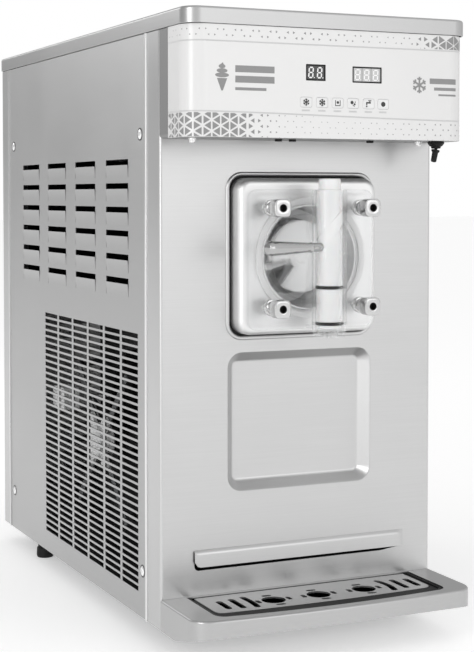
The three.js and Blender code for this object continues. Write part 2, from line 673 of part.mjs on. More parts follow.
function beater() {
  const { front, back, core, inner, outer, thick, turns, steps } = BEATER;
  const y0 = front + 12;
  const y1 = back - 12;
  const blade = (phase) => loft(Array.from({ length: steps + 1 }, (_, i) => {
    const angle = radians(phase) + (Math.PI * 2 * turns * i) / steps;
    const y = y0 + ((y1 - y0) * i) / steps;
    const [across, up] = [Math.cos(angle), Math.sin(angle)];
    const corner = (r, dy) => new THREE.Vector3(r * across, y + dy, CYLINDER.z + r * up);
    const [near, far] = [-thick / 2, thick / 2];
    return [corner(inner, near), corner(outer, near), corner(outer, far), corner(inner, far)];
  }));
  const arms = [0.04, 0.5, 0.96].map((along) => {
    const spoke = box(-inner - 4, inner + 4, -4, 4, -5, 5);
    const y = y0 + (y1 - y0) * along;
    return spoke.rotate([0, -360 * turns * along, 0]).translate([0, y, CYLINDER.z]);
  });
  return join(rodY(0, CYLINDER.z, core, front, back, 16), beaterDisc(), blade(0), blade(180), ...arms);
}

function shaftSeal() {
  const [inner, outer] = [SHAFT + 0.3, SHAFT_HOLE - 0.3];
  const [y0, y1] = [CYLINDER.back - 5, CYLINDER.back + 2];
  return turnedY([[inner, y0], [outer, y0], [outer, y1], [inner, y1], [inner, y0]], 0, CYLINDER.z, 20);
}

const GEARBOX = { front: 230, back: 300, half: 48 };

function gearbox() {
  const { front, back, half } = GEARBOX;
  const z = CYLINDER.z;
  const housing = prismY(roundedRect(-half, z - half, half, z + half, 14), front, back);
  const nose = rodY(0, z, 30, front - 8, front + 1, 20);
  const tail = rodY(0, z, 14, back - 1, back + 18, 16);
  const foot = box(-40, 40, front + 6, back - 6, z - half - 10, z - half + 1);
  const socket = rodY(0, z, SHAFT + 0.3, front - 9, front + 1, 16);
  return cut(join(housing, nose, tail, foot), socket);
}

function pulley(radius, x, z, bore) {
  const [y0, y1] = [BELT.front - 1.5, BELT.back + 1.5];
  const rim = radius + 2.5;
  const profile = [
    [0, 318.5], [bore, 318.5], [bore, y0], [rim, y0], [rim, BELT.front - 0.4], [radius, BELT.front - 0.4],
    [radius, BELT.back + 0.4], [rim, BELT.back + 0.4], [rim, y1], [0, y1],
  ];
  return turnedY(profile, x, z, 20);
}

// The belt's loop: two arcs joined by the outer tangents of its two pulleys.
function beltLoop(extra) {
  const big = { x: 0, z: CYLINDER.z, r: BELT.driven + extra };
  const small = { x: BELT.motorX, z: BELT.motorZ, r: BELT.driver + extra };
  const heading = (Math.atan2(small.z - big.z, small.x - big.x) * 180) / Math.PI;
  const distance = Math.hypot(small.x - big.x, small.z - big.z);
  const lean = (Math.acos((big.r - small.r) / distance) * 180) / Math.PI;
  return [
    ...arc(big.x, big.z, big.r, heading + lean, heading + 360 - lean, 20),
    ...arc(small.x, small.z, small.r, heading - lean, heading + lean, 8),
  ];
}

function driveMotor() {
  const { motorX: x, motorZ: z } = BELT;
  const profile = [
    [0, 112], [30, 112], [34, 116], [34, 126], [52, 130], [54, 134],
    [54, 284], [52, 288], [20, 292], [20, 300], [7, 300], [7, 318.1], [0, 318.1],
  ];
  const foot = box(x - 45, x + 45, 150, 260, z - 60.5, z - 48);
  return join(turnedY(profile, x, z, 18), foot);
}

add('beater', 'white', beater());
add('drive_shaft', 'steel', rodY(0, CYLINDER.z, SHAFT, BEATER.back + GAP, GEARBOX.front - GAP, 16));
add('shaft_seal', 'rubber', shaftSeal());
add('gearbox', 'motor', gearbox());
add('gearbox_pulley', 'galvanised', pulley(BELT.driven, 0, CYLINDER.z, 12));
add('drive_motor', 'motor', driveMotor());
add('motor_pulley', 'galvanised', pulley(BELT.driver, BELT.motorX, BELT.motorZ, 12));
add('drive_belt', 'rubber', prismY(beltLoop(GAP + BELT.thick), BELT.front, BELT.back, [beltLoop(GAP)]));

// ---- Refrigeration ---------------------------------------------------------------------------
function compressor() {
  const [x, y] = [84, 462];
  const profile = [
    [0, 12], [56, 12], [66, 18], [72, 30], [72, 108], [75, 112], [75, 118], [70, 124], [70, 168], [60, 188],
    [34, 200], [0, 204],
  ];
  const foot = box(x - 76, x + 76, y - 66, y + 66, 6, 11);
  const stem = rodZ(x, y, 50, 10, 14, 16);
  return join(turnedZ(profile, x, y, 18), foot, stem);
}

const CONDENSER = { x0: -94, x1: -50, y0: 86, y1: 440, z0: 6, z1: 330, finPitch: 29 };

// The finned block and the plate on its face, with a round mouth for the fan.
function condenser() {
  const { x0, x1, y0, y1, z0, z1, finPitch } = CONDENSER;
  const count = Math.floor((y1 - y0 - 10) / finPitch);
  const grooves = Array.from({ length: count }, (_, i) => {
    const y = y0 + 8 + i * finPitch;
    return box(x0 - 1, x0 + 6, y, y + finPitch - 4, z0 - 1, z1 + 1);
  });
  const shroud = prismX(rect(y0, z0, y1, z1), x0 - 3, x0 + 0.5, [circle(FAN.y, FAN.z, FAN.blade + 8, 32)]);
  return join(cut(box(x0, x1, y0, y1, z0, z1), ...grooves), shroud);
}

// The fan's motor on four arms that reach back to the shroud.
function fanMotor() {
  const face = CONDENSER.x0 - 3 - GAP;
  const profile = [[0, -166], [15, -166], [23, -162], [24, -158], [24, -140], [18, -136], [0, -136]];
  const arms = [45, 135, 225, 315].map((angle) => {
    const strip = box(-152, -149, 12, 134, -6, 6);
    const post = box(-152, face, 126, 134, -6, 6);
    return join(strip, post).rotate([angle, 0, 0]).translate([0, FAN.y, FAN.z]);
  });
  return join(turnedX(profile, FAN.y, FAN.z, 20), ...arms);
}

// The fan: a hub with flat blades of a rounded outline, each set at the same pitch.
function fanBlade() {
  const { hub, blade: tip, front, back, pitch } = FAN;
  const core = turnedX([[0, front], [hub - 3, front], [hub, front + 3], [hub, back], [0, back]], 0, 0, 20);
  const outline = [
    [-10, hub - 4], [10, hub - 4], [26, 62], [28, tip - 12], [20, tip - 4],
    [0, tip], [-20, tip - 4], [-28, tip - 12], [-24, 62],
  ];
  const flat = prismX(outline.map(([y, z]) => new THREE.Vector2(y, z)), -1, 1);
  const pitched = flat.rotate([0, 0, pitch]).translate([(front + back) / 2, 0, 0]);
  const step = 360 / FAN.blades;
  const blades = Array.from({ length: FAN.blades }, (_, i) => pitched.rotate([step * i, 0, 0]));
  return join(core, ...blades);
}

add('compressor', 'motor', compressor());
add('condenser', 'galvanised', condenser());
add('fan_motor', 'steel', fanMotor());
add('fan_blade', 'black', fanBlade()).position.set(0, FAN.y, FAN.z);
add('power_gland', 'black', gland());

// ---- Control head ----------------------------------------------------------------------------
// The head's plan, pulled in by an inset, open towards the cabinet at the stated Y.
function headPlan(inset, back) {
  const half = BODY.half - inset;
  const radius = HEAD.corner - inset;
  const y = HEAD.front + inset;
  return [
    new THREE.Vector2(half, back),
    new THREE.Vector2(-half, back),
    ...arc(-half + radius, y + radius, radius, 180, 270, 6),
    ...arc(half - radius, y + radius, radius, 270, 360, 6),
  ];
}

function headWindows(grow, depth) {
  const cutter = (x0, x1, z0, z1) => {
    return box(x0 - grow, x1 + grow, HEAD.front - 1, depth, z0 - grow, z1 + grow);
  };
  const [halfX, halfZ] = [KEY.width / 2, KEY.height / 2];
  const keys = KEY.xs.map((x) => cutter(x - halfX, x + halfX, KEY.z - halfZ, KEY.z + halfZ));
  return [cutter(...DISPLAY.two), cutter(...DISPLAY.three), ...keys];
}

function headHousing() {
  const inset = HEAD.skin + GAP;
  const back = -GAP;
  const shell = prismZ(headPlan(inset, back), HEAD.low, HEAD.top);
  const cheeks = [-1, 1].map((side) => {
    const [outer, inner] = [side * BODY.half, side * (BODY.half - HEAD.cheek)];
    return box(outer, inner, HEAD.skinBack + GAP, back, HEAD.low, HEAD.top);
  });
  const inside = prismZ(headPlan(inset + HEAD.wall, 1), HEAD.low + HEAD.wall, HEAD.top + 1);
  const bush = rodZ(SWITCH.x, SWITCH.y, SWITCH.bush + GAP, HEAD.low - 1, HEAD.low + 5, 16);
  return cut(join(shell, ...cheeks), inside, bush, ...headWindows(0.6, HEAD.front + 8));
}

function controlOverlay() {
  const skin = prismZ(headPlan(0, HEAD.skinBack), HEAD.low, HEAD.top);
  const inside = prismZ(headPlan(HEAD.skin, HEAD.skinBack + 1), HEAD.low - 1, HEAD.top + 1);
  return cut(skin, inside, ...headWindows(0.4, HEAD.front + 4));
}

add('head_housing', 'paint', headHousing());
add('control_overlay', 'white', controlOverlay());

function display([x0, x1, z0, z1]) {
  return box(x0, x1, HEAD.front + 0.3, HEAD.front + 14, z0, z1);
}

add('two_digit_display', 'black', display(DISPLAY.two));
add('three_digit_display', 'black', display(DISPLAY.three));

function keyCap() {
  const [halfX, halfZ] = [KEY.width / 2, KEY.height / 2];
  return prismY(roundedRect(-halfX, -halfZ, halfX, halfZ, KEY.corner, KEY.corner, 3), 0, KEY.depth);
}

KEY.xs.forEach((x, i) => {
  add(`key_${i + 1}`, 'grey', keyCap()).position.set(x, KEY.front, KEY.z);
});

function switchBody() {
  const { x, y, drop, bush } = SWITCH;
  const [low, face, inside] = [HEAD.low - drop, HEAD.low - GAP, HEAD.low + 6];
  const collar = [[0, low], [10, low], [10, face], [bush, face], [bush, inside]];
  return turnedZ([...collar, [11, inside], [11, inside + 20], [0, inside + 20]], x, y, 14);
}

function switchLever() {
  return turnedZ([[0, -16.5], [2.6, -16.5], [3.4, -14], [5, -8], [7, -2.2], [0, -2.2]], 0, 0, 16);
}

add('switch_body', 'black', switchBody());
const lever = add('switch_lever', 'rubber', switchLever());
lever.position.set(SWITCH.x, SWITCH.y, HEAD.low - SWITCH.drop);
lever.rotation.y = radians(SWITCH.tilt);

// ---- Drip station ----------------------------------------------------------------------------
// The well below the drip pan's rim: its distance from the rim and its own front edge.
const WELL = { step: 8, back: 4, side: -80, mid: -84, rim: 12, sheet: 2 };

function dripTray() {
  const profile = [[-GAP, 0], [-45, 0], [TRAY.mid - 2, 17], [TRAY.mid - 2, TRAY.top], [-GAP, TRAY.top]];
  const side = prismX(profile.map(([y, z]) => new THREE.Vector2(y, z)), -BODY.half - 1, BODY.half + 1);
  const plan = prismZ(bowed(BODY.half, -GAP, TRAY.side, TRAY.mid, TRAY.corner), -1, TRAY.top);
  const { half, back, side: sideY, mid, corner, floor } = OPENING;
  const pocket = prismZ(bowed(half, back, sideY, mid, corner), TRAY.top - WELL.rim, TRAY.top + 1);
  const well = bowed(half - WELL.step, back - WELL.back, WELL.side, WELL.mid, corner);
  const deep = prismZ(well, floor, TRAY.top);
  return cut(plan.intersect(side), pocket, deep);
}

function dripPan() {
  const { half, back, side, mid, corner, floor } = OPENING;
  const top = TRAY.top - 1;
  const low = TRAY.top - WELL.rim + GAP;
  const tight = corner - GAP;
  const rim = prismZ(bowed(half - GAP, back - GAP, side + GAP, mid + GAP, tight), low, top);
  const inset = WELL.step + GAP;
  const outline = bowed(half - inset, back - WELL.back - GAP, WELL.side + GAP, WELL.mid + GAP, tight);
  const well = prismZ(outline, floor + GAP, low + 1);
  const play = 0.5;
  const { half: gridHalf, back: gridBack, side: gridSide, mid: gridMid, corner: gridCorner } = GRID;
  const room = bowed(gridHalf + play, gridBack + play, gridSide - play, gridMid - play, gridCorner + play);
  const seat = prismZ(room, top - 3, top + 1);
  const hollow = prismZ(bowed(half - 12, back - 8, -68, -72, corner - 4), floor + GAP + WELL.sheet, top);
  return cut(join(rim, well), seat, hollow);
}

// A plate with three round wells, each inside four short slots, and three long slots at each end.
function dripGrid() {
  const { half, back, side, mid, corner, sheet, wellXs, wellY, well, petal, slots } = GRID;
  const holes = [];
  for (const x of wellXs) {
    holes.push(circle(x, wellY, well, 14));
    for (const angle of [0, 90, 180, 270]) {
      const [ux, uy] = [Math.cos(radians(angle)), Math.sin(radians(angle))];
      const [cx, cy] = [x + ux * petal, wellY + uy * petal];
      holes.push(slot(cx - uy * 3.4, cy + ux * 3.4, cx + uy * 3.4, cy - ux * 3.4, 2.8, 2));
    }
  }
  for (const [x, reach] of slots) {
    const middle = wellY + 3;
    holes.push(slot(x, middle - reach, x, middle + reach, 3.6, 2));
  }
  const z0 = TRAY.top - 3.6;
  const cutters = holes.map((hole) => prismZ(hole, z0 - 1, z0 + sheet + 1));
  return cut(prismZ(bowed(half, back, side, mid, corner), z0, z0 + sheet), ...cutters);
}

add('drip_tray', 'steel', dripTray());
add('drip_pan', 'black', dripPan());
add('drip_grid', 'steel', dripGrid());

export default machine;
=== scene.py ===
"""The looks of a counter-top soft serve machine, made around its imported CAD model.

Shapes are worked out in millimetres from two planes of the cabinet: Y = 0 is the face of the
front panel and Z = 0 is the lower edge of the panels. X is to the right and Y to the back.
"""

import math
from types import SimpleNamespace

import bmesh
import bpy
from mathutils import Euler, Matrix, Vector


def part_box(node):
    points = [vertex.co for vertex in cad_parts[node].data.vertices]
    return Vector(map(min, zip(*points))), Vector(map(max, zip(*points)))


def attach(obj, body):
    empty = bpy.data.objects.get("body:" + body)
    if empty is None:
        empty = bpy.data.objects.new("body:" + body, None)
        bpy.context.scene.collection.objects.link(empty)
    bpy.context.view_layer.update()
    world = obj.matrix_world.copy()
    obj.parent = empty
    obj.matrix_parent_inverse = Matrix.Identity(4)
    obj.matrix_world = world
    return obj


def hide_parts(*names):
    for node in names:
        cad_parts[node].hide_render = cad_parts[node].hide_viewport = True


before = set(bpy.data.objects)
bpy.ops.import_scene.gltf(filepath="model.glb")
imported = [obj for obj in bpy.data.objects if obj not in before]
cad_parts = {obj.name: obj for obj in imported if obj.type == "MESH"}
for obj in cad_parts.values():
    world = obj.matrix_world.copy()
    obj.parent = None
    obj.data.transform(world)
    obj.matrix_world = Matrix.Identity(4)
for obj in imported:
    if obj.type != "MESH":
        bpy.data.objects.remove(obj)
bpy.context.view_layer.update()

MM = 0.001
DEPTH = 650
DATUM_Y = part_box("rear_panel")[1].y - DEPTH * MM
DATUM_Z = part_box("drip_tray")[0].z
SHEET = 1.5


def span(node):
    """A CAD node's box, in panel millimetres."""
    low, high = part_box(node)
    return SimpleNamespace(
        x0=low.x / MM, x1=high.x / MM,
        y0=(low.y - DATUM_Y) / MM, y1=(high.y - DATUM_Y) / MM,
        z0=(low.z - DATUM_Z) / MM, z1=(high.z - DATUM_Z) / MM,
        cx=(low.x + high.x) / 2 / MM,
        cy=((low.y + high.y) / 2 - DATUM_Y) / MM,
        cz=((low.z + high.z) / 2 - DATUM_Z) / MM,
    )


# ---- Outlines --------------------------------------------------------------------------------
def arc(cx, cy, radius, start, end, steps):
    """Points on an arc, both ends included, with its angles in degrees."""
    angles = [math.radians(start + (end - start) * i / steps) for i in range(steps + 1)]
    return [(cx + radius * math.cos(a), cy + radius * math.sin(a)) for a in angles]


def filleted(corners, radius, steps=5, closed=True):
    """An outline with its corners rounded. A third number in a corner is its own radius."""
    points = []
    last = len(corners) - 1
    for i, corner in enumerate(corners):
        here = Vector(corner[:2])
        r = corner[2] if len(corner) > 2 else radius
        if r <= 0 or (not closed and i in (0, last)):
            points.append(tuple(here))
            continue
        back = Vector(corners[i - 1][:2]) - here
        ahead = Vector(corners[(i + 1) % len(corners)][:2]) - here
        half = back.angle(ahead) / 2
        if abs(half - math.pi / 2) < 1e-3:
            points.append(tuple(here))
            continue
        reach = min(r / math.tan(half), 0.49 * back.length, 0.49 * ahead.length)
        r = reach * math.tan(half)
        middle = (back.normalized() + ahead.normalized()).normalized() * (r / math.sin(half))
        first = back.normalized() * reach - middle
        second = ahead.normalized() * reach - middle
        turn = math.pi - 2 * half
        for k in range(steps + 1):
            t = k / steps
            a = math.sin((1 - t) * turn) / math.sin(turn)
            b = math.sin(t * turn) / math.sin(turn)
            points.append(tuple(here + middle + first * a + second * b))
    return points


def rounded(x0, y0, x1, y1, radius, inset=0.0, steps=8):
    """A rectangle with round corners, pulled in by an inset."""
    r = max(radius - inset, 0.4)
    x0, y0, x1, y1 = x0 + inset, y0 + inset, x1 - inset, y1 - inset
    return [
        *arc(x1 - r, y0 + r, r, -90, 0, steps),
        *arc(x1 - r, y1 - r, r, 0, 90, steps),
        *arc(x0 + r, y1 - r, r, 90, 180, steps),
        *arc(x0 + r, y0 + r, r, 180, 270, steps),
    ]


def circle(cx, cy, radius, steps=48):
    return arc(cx, cy, radius, 0, 360 - 360 / steps, steps - 1)


def slot(x0, y0, x1, y1, half_width, steps=6):
    """A slot with round ends between two points."""
    heading = math.degrees(math.atan2(y1 - y0, x1 - x0))
    return [
        *arc(x1, y1, half_width, heading - 90, heading + 90, steps),
        *arc(x0, y0, half_width, heading + 90, heading + 270, steps),
    ]


def offset(path, distance):
    """An open path of corners moved sideways, to the left of its direction."""
    moved = []
    for i, point in enumerate(path):
        here = Vector(point[:2])
        sides = []
        if i > 0:
            sides.append((here - Vector(path[i - 1][:2])).normalized())
        if i < len(path) - 1:
            sides.append((Vector(path[i + 1][:2]) - here).normalized())
        normals = [Vector((-s.y, s.x)) for s in sides]
        middle = sum(normals, Vector((0, 0))).normalized()
        moved.append(here + middle * (distance / middle.dot(normals[0])))
    return moved


def at_x(outline, x):
    return [(x, a, b) for a, b in outline]


def at_y(outline, y):
    return [(a, y, b) for a, b in outline]


def at_z(outline, z):
    return [(a, b, z) for a, b in outline]


def ease(value, low, high):
    """0 below low, 1 above high and smooth between them."""
    t = min(max((value - low) / (high - low), 0.0), 1.0)
    return t * t * (3 - 2 * t)


def ramp(value, stops):
    """A value read off a line through (place, value) stops."""
    for (a, va), (b, vb) in zip(stops, stops[1:]):
        if value <= b:
            return va + (vb - va) * max(value - a, 0) / (b - a)
    return stops[-1][1]


def rounded_ends(low, high, low_radius, high_radius, steps=4):
    """(inset, height) pairs that round the two ends of an extrusion."""
    pairs = [(0, low)]
    if low_radius:
        pairs = [
            (low_radius * (1 - math.sin(a)), low + low_radius * (1 - math.cos(a)))
            for a in (math.pi / 2 * i / steps for i in range(steps + 1))
        ]
    if not high_radius:
        return pairs + [(0, high)]
    return pairs + [
        (high_radius * (1 - math.cos(a)), high - high_radius * (1 - math.sin(a)))
        for a in (math.pi / 2 * i / steps for i in range(steps + 1))
    ]


# ---- Solids ----------------------------------------------------------------------------------
class Shape:
    """Closed skins gathered for one mesh, in panel millimetres."""

    def __init__(self):
        self.points = []
        self.faces = []

    def add(self, points, faces):
        base = len(self.points)
        self.points.extend(points)
        self.faces.extend(tuple(base + i for i in face) for face in faces)
        return self

    def join(self, *others):
        for other in others:
            self.add(other.points, other.faces)
        return self

    def moved(self, change):
        """A copy whose points have gone through a function."""
        return Shape().add([tuple(change(p)) for p in self.points], self.faces)

    def skin(self, rings, closed=False):
        """A skin through rings of equally many points, with flat ends or joined end to end."""
        count = len(rings[0])
        faces = []
        for j in range(len(rings) if closed else len(rings) - 1):
            k = (j + 1) % len(rings)
            for i in range(count):
                m = (i + 1) % count
                faces.append((j * count + i, j * count + m, k * count + m, k * count + i))
        if not closed:
            faces.append(tuple(reversed(range(count))))
            faces.append(tuple((len(rings) - 1) * count + i for i in range(count)))
        return self.add([p for ring in rings for p in ring], faces)

    def prism(self, outline, low, high, place=at_z):
        """An outline drawn along an axis."""
        return self.skin([place(outline, low), place(outline, high)])

    def turn(self, profile, place, steps=64):
        """A turned piece, from a profile of (radius, height) that runs from the axis to the axis
        or is a loop. place puts (across, up, height) in the panel frame."""
        angles = [math.tau * i / steps for i in range(steps)]
        ring = [(math.cos(a), math.sin(a)) for a in angles]
        is_loop = profile[0][0] > 1e-6
        circles = profile if is_loop else profile[1:-1]
        self.skin([[place(r * c, r * s, h) for c, s in ring] for r, h in circles], is_loop)
        if is_loop:
            return self
        ends = self.faces[-2:]
        del self.faces[-2:]
        for face, (_, height) in zip(ends, (profile[0], profile[-1])):
            self.points.append(place(0, 0, height))
            pole = len(self.points) - 1
            self.faces.extend((face[i], face[(i + 1) % steps], pole) for i in range(steps))
        return self

    def sheet(self, surface, across, down, thickness):
        """A thin curved plate. surface gives a point for two shares from 0 to 1."""
        shares = [(i / across, j / down) for j in range(down + 1) for i in range(across + 1)]
        front = [Vector(surface(u, v)) for u, v in shares]
        back = [p + Vector(thickness) for p in front]
        count = len(front)
        wide = across + 1
        faces = []
        for j in range(down):
            for i in range(across):
                a = j * wide + i
                faces.append((a, a + 1, a + 1 + wide, a + wide))
                faces.append((a + count, a + wide + count, a + 1 + wide + count, a + 1 + count))
        edge = list(range(across))
        edge += [j * wide + across for j in range(down)]
        edge += [down * wide + across - i for i in range(across)]
        edge += [(down - j) * wide for j in range(down)]
        for a, b in zip(edge, edge[1:] + edge[:1]):
            faces.append((a, a + count, b + count, b))
        return self.add([tuple(p) for p in front + back], faces)


# Each gives a function that puts (across, up, height) round an axis of the machine.
def about_z(cx, cy):
    return lambda a, b, h: (cx + a, cy + b, h)


def about_y(cx, cz):
    return lambda a, b, h: (cx + a, h, cz + b)


def about_x(cy, cz):
    return lambda a, b, h: (h, cy + a, cz + b)


def box(x0, x1, y0, y1, z0, z1):
    return Shape().prism([(x0, y0), (x1, y0), (x1, y1), (x0, y1)], z0, z1)


def rod(radius, low, high, place, steps):
    """A plain round bar."""
    return Shape().turn([(0, low), (radius, low), (radius, high), (0, high)], place, steps)


def turned(corners, radius, place, steps, corner_steps=4):
    """A turned piece, from the corners of its profile between the axis and the axis."""
    return Shape().turn(filleted(corners, radius, corner_steps, closed=False), place, steps)


def hoop(corners, radius, place, steps):
    """A turned ring, from the corners of its section."""
    return Shape().turn(filleted(corners, radius, 3), place, steps)


def stack(outline, levels, place, closed=False):
    """A skin through copies of an outline, at (inset, height) levels."""
    return Shape().skin([place(outline(inset), height) for inset, height in levels], closed)


def new_object(name, data):
    made = bpy.data.objects.new(name, data)
    bpy.context.scene.collection.objects.link(made)
    return made


def oriented(mesh):
    work = bmesh.new()
    work.from_mesh(mesh)
    bmesh.ops.recalc_face_normals(work, faces=work.faces)
    work.to_mesh(mesh)
    work.free()
    return mesh


def boolean(base, *tools, operation="DIFFERENCE"):
    """base cut by, joined with or held inside each tool in turn."""
    for tool in tools:
        pair = []
        for shape in (base, tool):
            mesh = bpy.data.meshes.new("work")
            mesh.from_pydata(shape.points, [], shape.faces)
            pair.append(new_object("work", oriented(mesh)))
        step = pair[0].modifiers.new("step", "BOOLEAN")
        step.operation = operation
        step.solver = "MANIFOLD"
        step.object = pair[1]
        bpy.context.view_layer.update()
        evaluated = pair[0].evaluated_get(bpy.context.evaluated_depsgraph_get())
        made = evaluated.to_mesh()
        base = Shape().add([tuple(v.co) for v in made.vertices],
                           [tuple(p.vertices) for p in made.polygons])
        evaluated.to_mesh_clear()
        for holder in pair:
            bpy.data.meshes.remove(holder.data)
        if not base.points:
            raise ValueError("a boolean left nothing")
    return base


def piece(name, shape, surface, body="cabinet", replaces=(), angle=32, even=True):
    """One finished piece of the machine. Edges sharper than the angle stay sharp."""
    mesh = bpy.data.meshes.new(name)
    points = [(x * MM, DATUM_Y + y * MM, DATUM_Z + z * MM) for x, y, z in shape.points]
    mesh.from_pydata(points, [], shape.faces)
    oriented(mesh)
    mesh.materials.append(surface)
    mesh.shade_smooth()
    mesh.set_sharp_from_angle(angle=math.radians(angle))
    made = new_object(name, mesh)
    if even:
        flat = made.modifiers.new("even", "WEIGHTED_NORMAL")
        flat.keep_sharp = True
    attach(made, body)
    if replaces:
        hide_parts(*replaces)
    return made


# ---- Finishes --------------------------------------------------------------------------------
def shader_node(tree, kind, values=(), operation=None):
    """A shader node with the values of some of its sockets."""
    made = tree.nodes.new("ShaderNode" + kind)
    if operation:
        made.operation = operation
    for socket, value in dict(values).items():
        made.inputs[socket].default_value = value
    return made


NOISE_LOW, NOISE_HIGH = 0.3, 0.7
FINE_SHARE, BROAD_SHARE = 0.6, 0.4
RELIEF_DEPTH = 0.0004


def finish(name, colour, roughness, metallic=0.0, grain=(400, 400, 400), tint=0.04, wear=0.05,
           relief=0.08, mottle=9.0, **sockets):
    """A surface whose colour, roughness and relief follow a noise stretched along its grain."""
    made = bpy.data.materials.new(name)
    made.use_nodes = True
    tree = made.node_tree
    link = tree.links.new
    shader = tree.nodes["Principled BSDF"]
    shader.inputs["Metallic"].default_value = metallic
    for socket, value in sockets.items():
        shader.inputs[socket.replace("_", " ")].default_value = value

    place = shader_node(tree, "TexCoord")
    stretch = shader_node(tree, "Mapping", {"Scale": grain})
    fine = shader_node(tree, "TexNoise", {"Scale": 1.0, "Detail": 4.0})
    broad = shader_node(tree, "TexNoise", {"Scale": mottle, "Detail": 3.0})
    link(place.outputs["Object"], stretch.inputs["Vector"])
    link(stretch.outputs["Vector"], fine.inputs["Vector"])
    link(place.outputs["Object"], broad.inputs["Vector"])

    both = shader_node(tree, "Math", {1: FINE_SHARE}, "MULTIPLY_ADD")
    shade = shader_node(tree, "Math", {1: BROAD_SHARE}, "MULTIPLY")
    link(fine.outputs["Fac"], both.inputs[0])
    link(broad.outputs["Fac"], shade.inputs[0])
    link(shade.outputs["Value"], both.inputs[2])

    tone = shader_node(tree, "ValToRGB")
    stops = zip(tone.color_ramp.elements, (NOISE_LOW, NOISE_HIGH), (-tint, tint))
    for stop, position, change in stops:
        stop.position = position
        stop.color = (*(min(max(c * (1 + change), 0.0), 1.0) for c in colour), 1)
    link(both.outputs["Value"], tone.inputs["Fac"])
    link(tone.outputs["Color"], shader.inputs["Base Color"])

    gloss = shader_node(tree, "MapRange", {
        "From Min": NOISE_LOW, "From Max": NOISE_HIGH,
        "To Min": max(roughness - wear, 0.02), "To Max": min(roughness + wear, 1.0)})
    link(both.outputs["Value"], gloss.inputs["Value"])
    link(gloss.outputs["Result"], shader.inputs["Roughness"])

    if relief:
        bump = shader_node(tree, "Bump", {"Strength": relief, "Distance": RELIEF_DEPTH})
        link(fine.outputs["Fac"], bump.inputs["Height"])
        link(bump.outputs["Normal"], shader.inputs["Normal"])
    return made


def grey(level, warmth=0.0):
    """A neutral colour. A positive warmth leans it to yellow and a negative one to blue."""
    return (level * (1 + warmth), level, level * (1 - warmth))


def brushed(face, level, roughness, grain, **sockets):
    return finish(f"brushed_steel_{face}", grey(level), roughness, 1.0, grain, 0.035, 0.05, 0.05,
                  **sockets)


ALONG_X, ALONG_Y, ALONG_Z = (12, 900, 900), (900, 12, 900), (900, 900, 12)
EVEN = (900, 900, 900)
SOFT = (500, 500, 500)

# A finish's numbers are its colour, roughness, metallic, grain along X, Y and Z, tint, wear, relief
# and mottle.
# The four brushed steels are one stainless sheet whose levels differ to paint in light and shade: the
# front is a lit copy, the side is the darkest shaded copy, and the top and the tray are shaded copies
# between them.
BRUSHED_FRONT_LIT = brushed("front", 0.58, 0.36, ALONG_X)
BRUSHED_SIDE_SHADED = brushed("side", 0.465, 0.38, ALONG_Y, Anisotropic=0.75, Anisotropic_Rotation=0.25)
BRUSHED_TOP_SHADED = brushed("top", 0.49, 0.36, ALONG_Y)
BRUSHED_TRAY_SHADED = brushed("tray", 0.49, 0.34, ALONG_X)
PRESSED_STEEL = finish("pressed_steel", grey(0.80), 0.46, 1.0, (40, 300, 300), 0.02, 0.04, 0.02)
# The barrel's steel is nearly white and barely metallic: painted light, so that the inside of the
# cylinder reads bright behind the door.
LIT_BARREL_STEEL = finish("barrel_steel_painted_light", grey(0.96), 0.45, 0.25, (60, 700, 60), 0.02, 0.05, 0.04)
# A lighter, glossier copy of the side steel for the folded edges: a painted highlight along each
# fold.
HIGHLIGHT_EDGE_STEEL = finish("bent_edge_painted_highlight", grey(0.78), 0.30, 1.0, ALONG_Z, 0.03, 0.04, 0.03)
SATIN_STEEL = finish("satin_steel", grey(0.64), 0.26, 1.0, (60, 700, 700), 0.03, 0.05, 0.04)
POLISHED_STEEL = finish("polished_steel", grey(0.47), 0.06, 1.0, SOFT, 0.02, 0.03, 0.02)
ZINC = finish("galvanised_zinc", grey(0.48, -0.02), 0.45, 0.9, (60, 60, 60), 0.14, 0.10, 0.10, 45.0)
# A darker copy of the galvanised zinc for the pan, posts and fan bracket deep inside the cabinet:
# painted shade.
SHADED_ZINC = finish("shaded_zinc", grey(0.16, -0.02), 0.5, 0.9, (60, 60, 60), 0.14, 0.10, 0.10, 45.0)
SCREW_ZINC = finish("plated_screws", grey(0.92), 0.16, 0.6, EVEN, 0.05, 0.05, 0.03)
# Dark washers under the screw heads: painted shade round each head.
SHADE_WASHER = finish("dark_washers_painted_shade", grey(0.09), 0.45, 0.3, EVEN, 0.05, 0.05, 0.05)
GREY_PAINT = finish("grey_enamel", grey(0.20), 0.42, 0.1, (1800, 1800, 1800), 0.05, 0.06, 0.10)
BLACK_PAINT = finish("black_enamel", grey(0.022), 0.38, 0.1, EVEN, 0.15, 0.08, 0.12)
CASTING = finish("cast_housing", grey(0.10, -0.04), 0.55, 0.5, (700, 700, 700), 0.12, 0.10, 0.30)
BRIGHT_ALUMINIUM = finish("bright_aluminium", grey(0.95), 0.30, 0.15, (300, 300, 300),
                          0.05, 0.08, 0.08)
ALUMINIUM = finish("rolled_aluminium", grey(0.62), 0.34, 1.0, (900, 900, 60), 0.05, 0.08, 0.08)
FILM = finish("white_film", grey(0.70, 0.004), 0.24, 0.0, (1400, 1400, 1400), 0.012, 0.03, 0.03,
              Coat_Weight=0.3, Coat_Roughness=0.08)
FILM_INK = finish("grey_ink", grey(0.245), 0.45, 0.0, (2500, 2500, 2500), 0.10, 0.05, 0.05)
PALE_INK = finish("pale_ink", grey(0.52), 0.42, 0.0, (2500, 2500, 2500), 0.08, 0.05, 0.05)
BLACK_INK = finish("black_ink", grey(0.030), 0.42, 0.0, (2500, 2500, 2500), 0.15, 0.05, 0.05)
